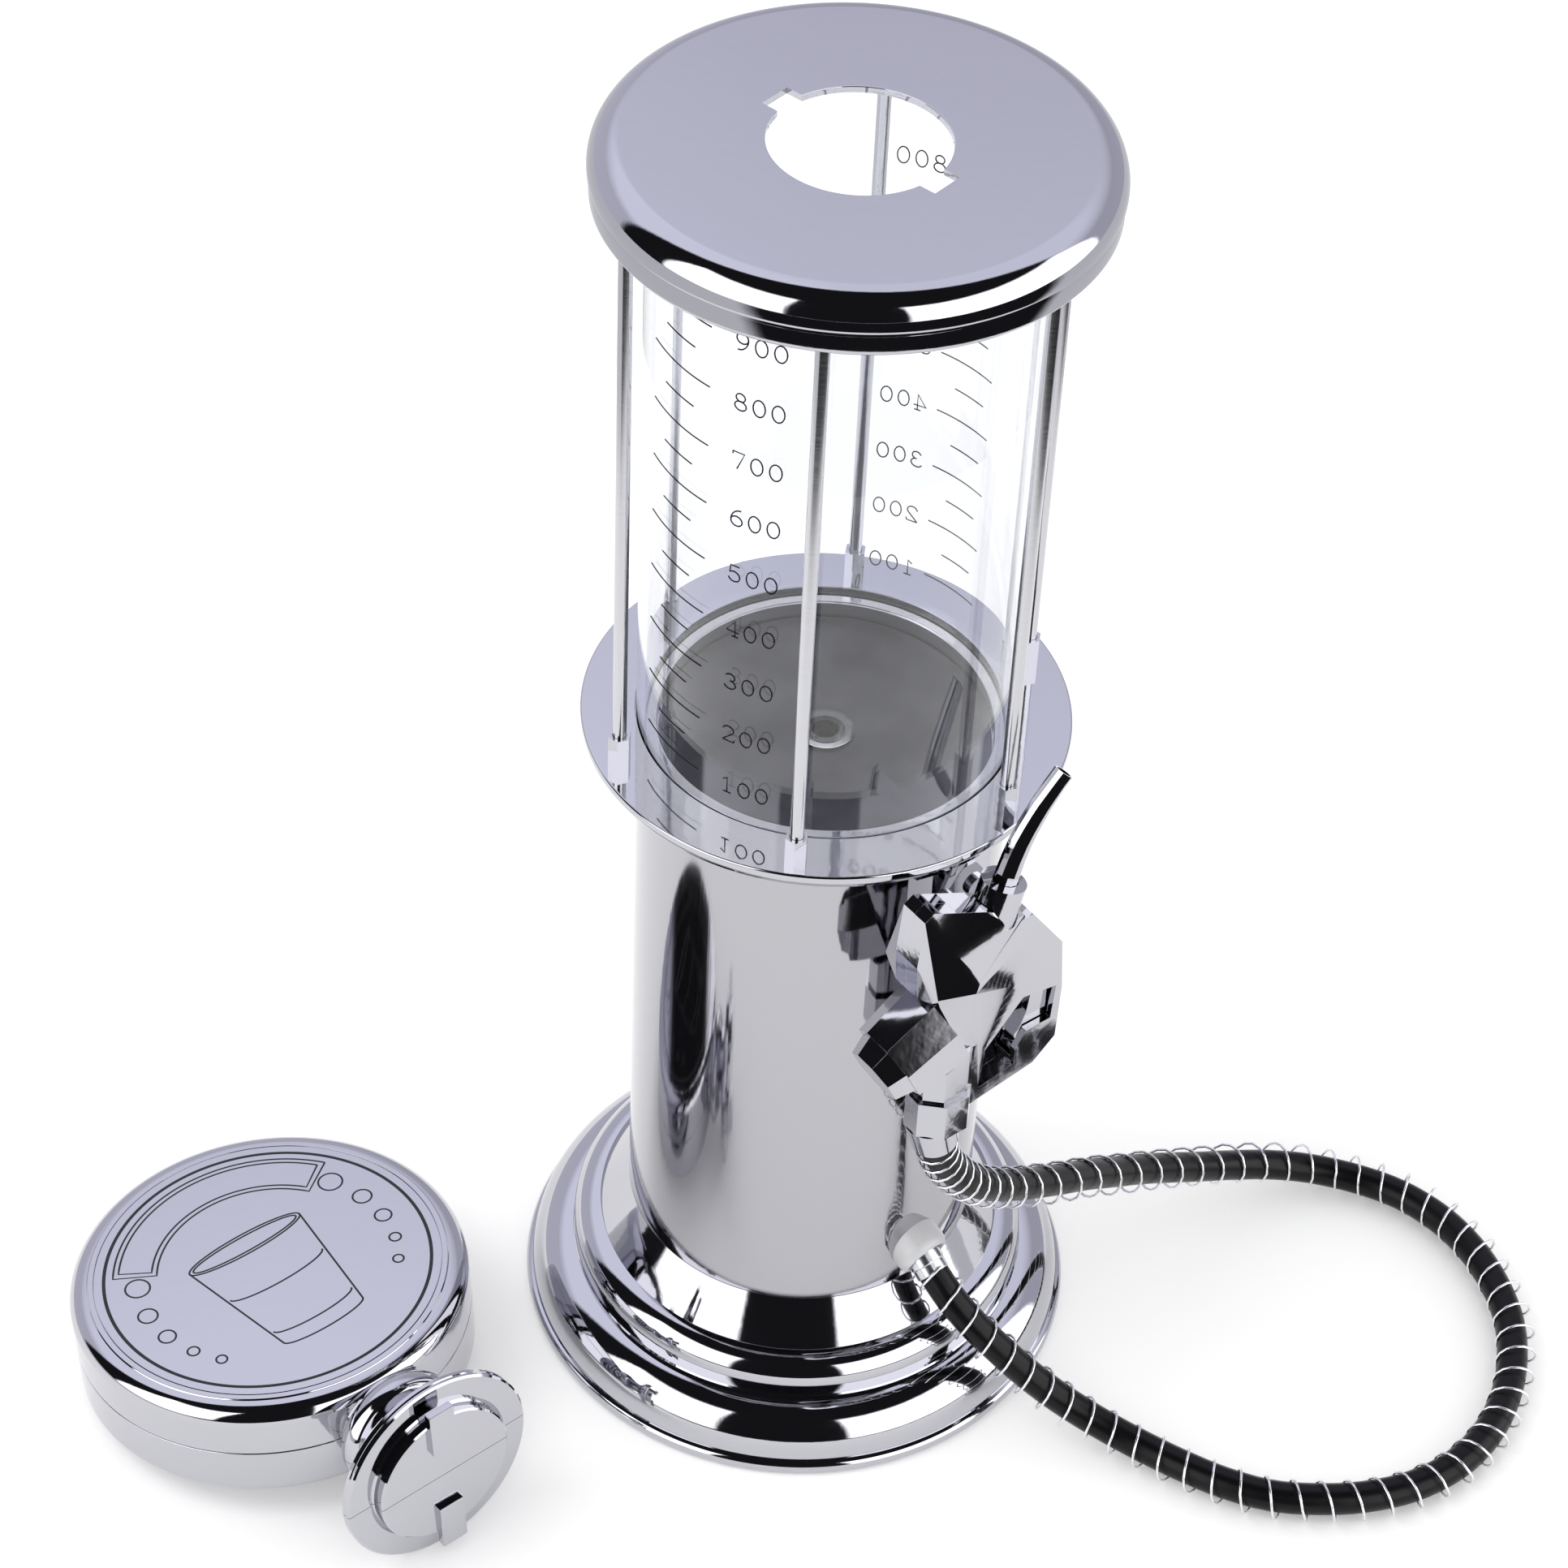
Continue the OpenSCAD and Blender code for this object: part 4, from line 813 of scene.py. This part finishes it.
lay_topper = (
    Matrix.Translation(Vector((*topper_at, topper_z)) * MM)
    @ Matrix.Rotation(topper_turn, 4, "Z")
    @ Matrix.Rotation(-topper_tilt, 4, "Y")
)


def laid(shape, *turns):
    """The shape laid on the table with the topper, after its own turns."""
    for turn in (*turns, lay_topper):
        bmesh.ops.transform(shape, matrix=turn, verts=shape.verts)
    return shape


half_t = disc_t / 2
face_recess = 1
face_r = 46.2
bezel_r = 48
bezel_drop = 0.35
wall_in = 51
inside_h = 11
front_outline = rounded([
    (0, inside_h), (0, half_t - face_recess), (face_r, half_t - face_recess), (face_r, half_t, 0.15),
    (bezel_r - 0.3, half_t, 0.3), (bezel_r, half_t - bezel_drop, 0.2), (disc_r, half_t - bezel_drop, 4.7),
    (disc_r, 0.15, 0.2), (wall_in, 0.15), (wall_in, inside_h)], 10)
back_outline = rounded([
    (0, -inside_h), (wall_in, -inside_h), (wall_in, -0.1), (disc_r, -0.1, 0.2),
    (disc_r, -half_t, disc_round), (0, -half_t)], 8)
piece("topper_front_chrome", laid(turned(front_outline, 256)), chrome, "topper", ["topper_front_shell"])
piece("topper_back_chrome", laid(turned(back_outline, 256)), chrome, "topper", ["topper_back_shell"])

# The neck is a spool with a fat bead, turned from the disc's edge out to the flange and the plug.
neck_r = 13
bead_out = 4
waist_r = 12
neck_outline = (
    [(0, 0), (neck_r, 0), (neck_r, neck_len * 0.3), (neck_r + 0.6, neck_len * 0.32)]
    + arc((neck_r, neck_len * 0.48), bead_out, neck_len * 0.16, -80, 60, 12)
    + [(waist_r, neck_len * 0.72), (waist_r, neck_len * 0.84), (foot_r * 0.72, neck_len * 0.9)]
    + [(foot_r - 0.6, neck_len - 0.4), (foot_r, neck_len + 0.3), (foot_r, neck_len + 1.2)]
    + [(foot_r - 0.25, neck_len + 1.5), (foot_r, neck_len + 1.8), (foot_r, foot_end - 0.5)]
    + [(foot_r - 0.5, foot_end), (plug_r + 1.2, foot_end), (plug_r + 0.6, foot_end - 0.6)]
    + [(plug_r, foot_end), (plug_r, plug_end - 0.4), (plug_r - 0.4, plug_end), (0, plug_end)]
)
# Its two halves meet in a fine seam.
seam_w = 0.16
stand_up = Matrix.Rotation(math.pi / 2, 4, "Y") @ Matrix.Translation((0, 0, neck_root * MM))
seam = box_shape((foot_r * 3, seam_w, plug_end * 3), (0, 0, 0), Matrix.Rotation(math.pi / 2, 4, "Z"))
neck_halves = cut_away(turned(neck_outline, 160), seam)
piece("topper_neck_chrome", laid(neck_halves, stand_up), chrome, "topper",
      ["topper_front_shell", "topper_back_shell"])

lug_root = 10
lug_reach = fill_r + notch_depth - 0.5
lug_foot = foot_end + cap_t + 0.8
lug_top = plug_end + 1.6
lug_soft = 0.4
for number, half in enumerate((0, math.pi), 1):
    lug = box_shape(
        (lug_reach - lug_root, lug_w, lug_top - lug_foot),
        ((lug_reach + lug_root) / 2, 0, (lug_top + lug_foot) / 2),
    )
    bmesh.ops.bevel(lug, geom=lug.edges[:], offset=lug_soft * MM, segments=2, profile=0.5, affect="EDGES",
                    material=-1)
    piece(f"topper_lug_{number}", laid(lug, Matrix.Rotation(half, 4, "Z"), stand_up), chrome, "topper",
          ["topper_front_shell", "topper_back_shell"])
dress(chrome, "topper_face")

# The face carries a plain line design engraved and filled with black: a double ring, an empty banner, two
# rows of shrinking bubbles and a tumbler.
ring_radii = (43.2, 43.6)
line_w = 0.55
line_rise = 0.25
# Each frame of the banner: its outer and inner radius and the turn where it starts.
banner_frames = [(41, 29.4, 124), (39.6, 30.8, 126.4)]
# Each bubble's turn and radius, on both sides of the face.
bubble_reach = 34.6
bubbles = [(117, 3.3), (99, 2.6), (83, 2.3), (67.7, 1.6), (54, 1.45)]
# The tumbler's rim and foot: distance, half width and depth of the oval.
glass_rim = (-11, 17.5, 3.6)
glass_foot = (26, 12.5, 2.6)
glass_base = (21, 12.3, 2.6)
glass_level = (4, 14.6, 3)
lip_w = 1.2
lip_d = 0.9


def banner_frame(out_r, in_r, turn):
    """The closed outline of an arched banner."""
    return arc((0, 0), out_r, out_r, turn, 360 - turn, 48) + arc((0, 0), in_r, in_r, 360 - turn, turn, 48)


def closed(line):
    """The line with its first point added at its end."""
    return line + [line[0]]


face_lines = [arc((0, 0), r, r, 0, 360, 160) for r in ring_radii]
for out_r, in_r, turn in banner_frames:
    face_lines.append(closed(banner_frame(out_r, in_r, turn)))
for turn, size in bubbles:
    along_x = bubble_reach * math.cos(math.radians(turn))
    along_y = bubble_reach * math.sin(math.radians(turn))
    for middle in ((along_x, along_y), (along_x, -along_y)):
        face_lines.append(arc(middle, size, size, 0, 360, 24))
rim_x, rim_w, rim_d = glass_rim
foot_x, foot_w = glass_foot[:2]
face_lines += [
    arc((rim_x, 0), rim_d, rim_w, 0, 360, 48),
    arc((rim_x, 0), rim_d - lip_d, rim_w - lip_w, 0, 360, 48),
    [(rim_x, rim_w), (foot_x, foot_w)],
    [(rim_x, -rim_w), (foot_x, -foot_w)],
]
for x, wide, deep in (glass_foot, glass_base, glass_level):
    face_lines.append(arc((x, 0), deep, wide, -90, 90, 24))
line_shape = bmesh.new()
line_shape.from_mesh(line_mesh("sketch", [[(x, y, 0) for x, y in line] for line in face_lines], line_w, 1))
bmesh.ops.scale(line_shape, vec=(1, 1, line_rise), verts=line_shape.verts)
bmesh.ops.translate(line_shape, vec=(0, 0, half_t * MM), verts=line_shape.verts)

# Black enamel wiped into the engraved lines: deep, half matt, a little uneven.
enamel, tree = blank_material("black enamel filling")
place = add(tree, "ShaderNodeTexCoord")
wiped = add(tree, "ShaderNodeTexNoise", inputs={
    "Vector": place.outputs["Object"], "Scale": grain(1.111), "Detail": 2})
gloss = add(tree, "ShaderNodeMapRange", inputs={"Value": wiped.outputs[0], "To Min": 0.35, "To Max": 0.6})
close_material(tree, add(tree, "ShaderNodeBsdfPrincipled", inputs={
    "Base Color": linear("#141418"), "Roughness": gloss.outputs[0], "IOR": 1.5}))
piece("topper_face_lines", laid(line_shape), enamel, "topper")

# --------------------------------------------------------------------------------- Table and studio
# A white table, a soft lamp, and a studio of white, black and lavender walls that only the chrome sees.
table_size = 4
table_grey = 0.93
table_glow = 0.21
black = (0.012, 0.012, 0.014, 1)


def stage_piece(name, shape, material):
    """Puts a shape on the stage, round the pump."""
    obj = shown(name, mesh_from(name, shape), material)
    return obj


def times(a, b):
    """The product of two values of the tree in hand."""
    return add(tree, "ShaderNodeMath", {"operation": "MULTIPLY"}, {0: a, 1: b}).outputs[0]


# White laminate: it glows a little to the eye, so that it looks as white as the air behind it.
table_white, tree = blank_material("white laminate table")
rays = add(tree, "ShaderNodeLightPath")
seen = add(tree, "ShaderNodeMath", {"operation": "MAXIMUM"}, {
    0: rays.outputs["Is Camera Ray"], 1: rays.outputs["Is Glossy Ray"]})
seen = add(tree, "ShaderNodeMath", {"operation": "MAXIMUM"}, {
    0: seen.outputs[0], 1: rays.outputs["Is Transmission Ray"]})
paper = add(tree, "ShaderNodeBsdfDiffuse", inputs={"Color": (table_grey, table_grey, table_grey, 1)})
paleness = add(tree, "ShaderNodeEmission", inputs={"Strength": times(seen.outputs[0], table_glow)})
close_material(tree, add(tree, "ShaderNodeAddShader", inputs={0: paper.outputs[0], 1: paleness.outputs[0]}))

table_shape = bmesh.new()
bmesh.ops.create_grid(table_shape, x_segments=1, y_segments=1, size=table_size)
stage_piece("table_floor", table_shape, table_white)


def band(value, low, high, soft):
    """1 where a value lies between two limits, with soft edges."""
    rise = add(tree, "ShaderNodeMapRange", {"interpolation_type": "SMOOTHSTEP"},
               {"Value": value, "From Min": low - soft, "From Max": low + soft})
    fall = add(tree, "ShaderNodeMapRange", {"interpolation_type": "SMOOTHSTEP"},
               {"Value": value, "From Min": high - soft, "From Max": high + soft, "To Min": 1, "To Max": 0})
    return times(rise.outputs[0], fall.outputs[0])


def over(below, above, mask):
    """One colour laid over another where a mask is 1."""
    return add(tree, "ShaderNodeMix", {"data_type": "RGBA"}, {0: mask, 6: below, 7: above}).outputs[2]


def seen_from_camera(direction):
    """A direction's parts to the camera's right, away from it and up, and its turn from the camera."""
    level = add(tree, "ShaderNodeVectorRotate", {"rotation_type": "Z_AXIS"},
                {"Vector": direction, "Angle": -camera_azimuth})
    parts = add(tree, "ShaderNodeSeparateXYZ", inputs={"Vector": level.outputs[0]})
    turn = add(tree, "ShaderNodeMath", {"operation": "ARCTAN2"}, {
        0: parts.outputs[0], 1: times(parts.outputs[1], -1.0)})
    return *parts.outputs, turn.outputs[0]


# From a little way off the chrome sees a dark floor in front and to the right, and a grey one elsewhere.
room_grey = (0.75, 0.75, 0.78, 1)
dark_from = 430
dark_to = 3300
dark_paint, tree = blank_material("dark room floor")
place = add(tree, "ShaderNodeTexCoord")
turn = seen_from_camera(place.outputs["Object"])[3]
shade = over(room_grey, black, band(turn, -0.7, 1.5, 0.1))
close_material(tree, add(tree, "ShaderNodeEmission", inputs={"Color": shade}))
dark_shape = turned([(dark_from, 0.2), (dark_to, 0.2), (dark_to, 0.1), (dark_from, 0.1)], 64)
dark_floor = stage_piece("dark_room_floor", dark_shape, dark_paint)

# The walls are black on the camera's side and lavender beyond, brighter higher up and to the left. A white
# softbox stands on the left and another on the right; limits are turns in radians and heights from 0 to 1.
lavender = (1.06, 1.06, 1.24, 1)
softbox = (2.7, 2.7, 2.7, 1)
studio_r = 3.4
walls, tree = blank_material("studio walls")
place = add(tree, "ShaderNodeTexCoord")
unit = add(tree, "ShaderNodeVectorMath", {"operation": "NORMALIZE"}, {"Vector": place.outputs["Object"]})
aside, away, up, turn = seen_from_camera(unit.outputs[0])
higher = add(tree, "ShaderNodeMapRange", inputs={
    "Value": up, "From Min": 0.5, "From Max": 0.72, "To Min": 0.52, "To Max": 0.92})
lefter = add(tree, "ShaderNodeMapRange", inputs={
    "Value": aside, "From Min": -0.25, "From Max": 0, "To Min": 1.25, "To Max": 1})
shade = over(black, lavender, times(higher.outputs[0], lefter.outputs[0]))
shade = over(shade, black, band(away, -2, 0.22, 0.04))
left_box = times(band(turn, -1.35, -0.45, 0.03), band(up, 0.02, 0.8, 0.03))
right_box = times(band(turn, 0.4, 1.9, 0.03), band(up, -0.02, 0.75, 0.03))
shade = over(over(shade, softbox, left_box), softbox, right_box)
close_material(tree, add(tree, "ShaderNodeEmission", inputs={"Color": shade, "Strength": 1}))
studio_shape = bmesh.new()
bmesh.ops.create_uvsphere(studio_shape, u_segments=96, v_segments=48, radius=studio_r)
studio = stage_piece("studio_walls", studio_shape, walls)
for wall in (studio, dark_floor):
    wall.visible_camera = False
    wall.visible_diffuse = False
    wall.visible_transmission = False
    wall.visible_shadow = False
    wall.visible_volume_scatter = False

world = bpy.data.worlds.new("white room")
scene.world = world
world.use_nodes = True
world.node_tree.nodes["Background"].inputs["Color"].default_value = (1, 1, 1, 1)
world.node_tree.nodes["Background"].inputs["Strength"].default_value = 0.95

lamp_place = Vector((-1.1, 0.5, 1.9))
lamp = bpy.data.lights.new("soft lamp", "AREA")
lamp.shape = "DISK"
lamp.size = 1.2
lamp.energy = 9
lamp_object = bpy.data.objects.new("soft lamp", lamp)
scene.collection.objects.link(lamp_object)
lamp_object.location = lamp_place
lamp_object.rotation_euler = lamp_place.to_track_quat("Z", "Y").to_euler()
lamp_object.visible_glossy = False
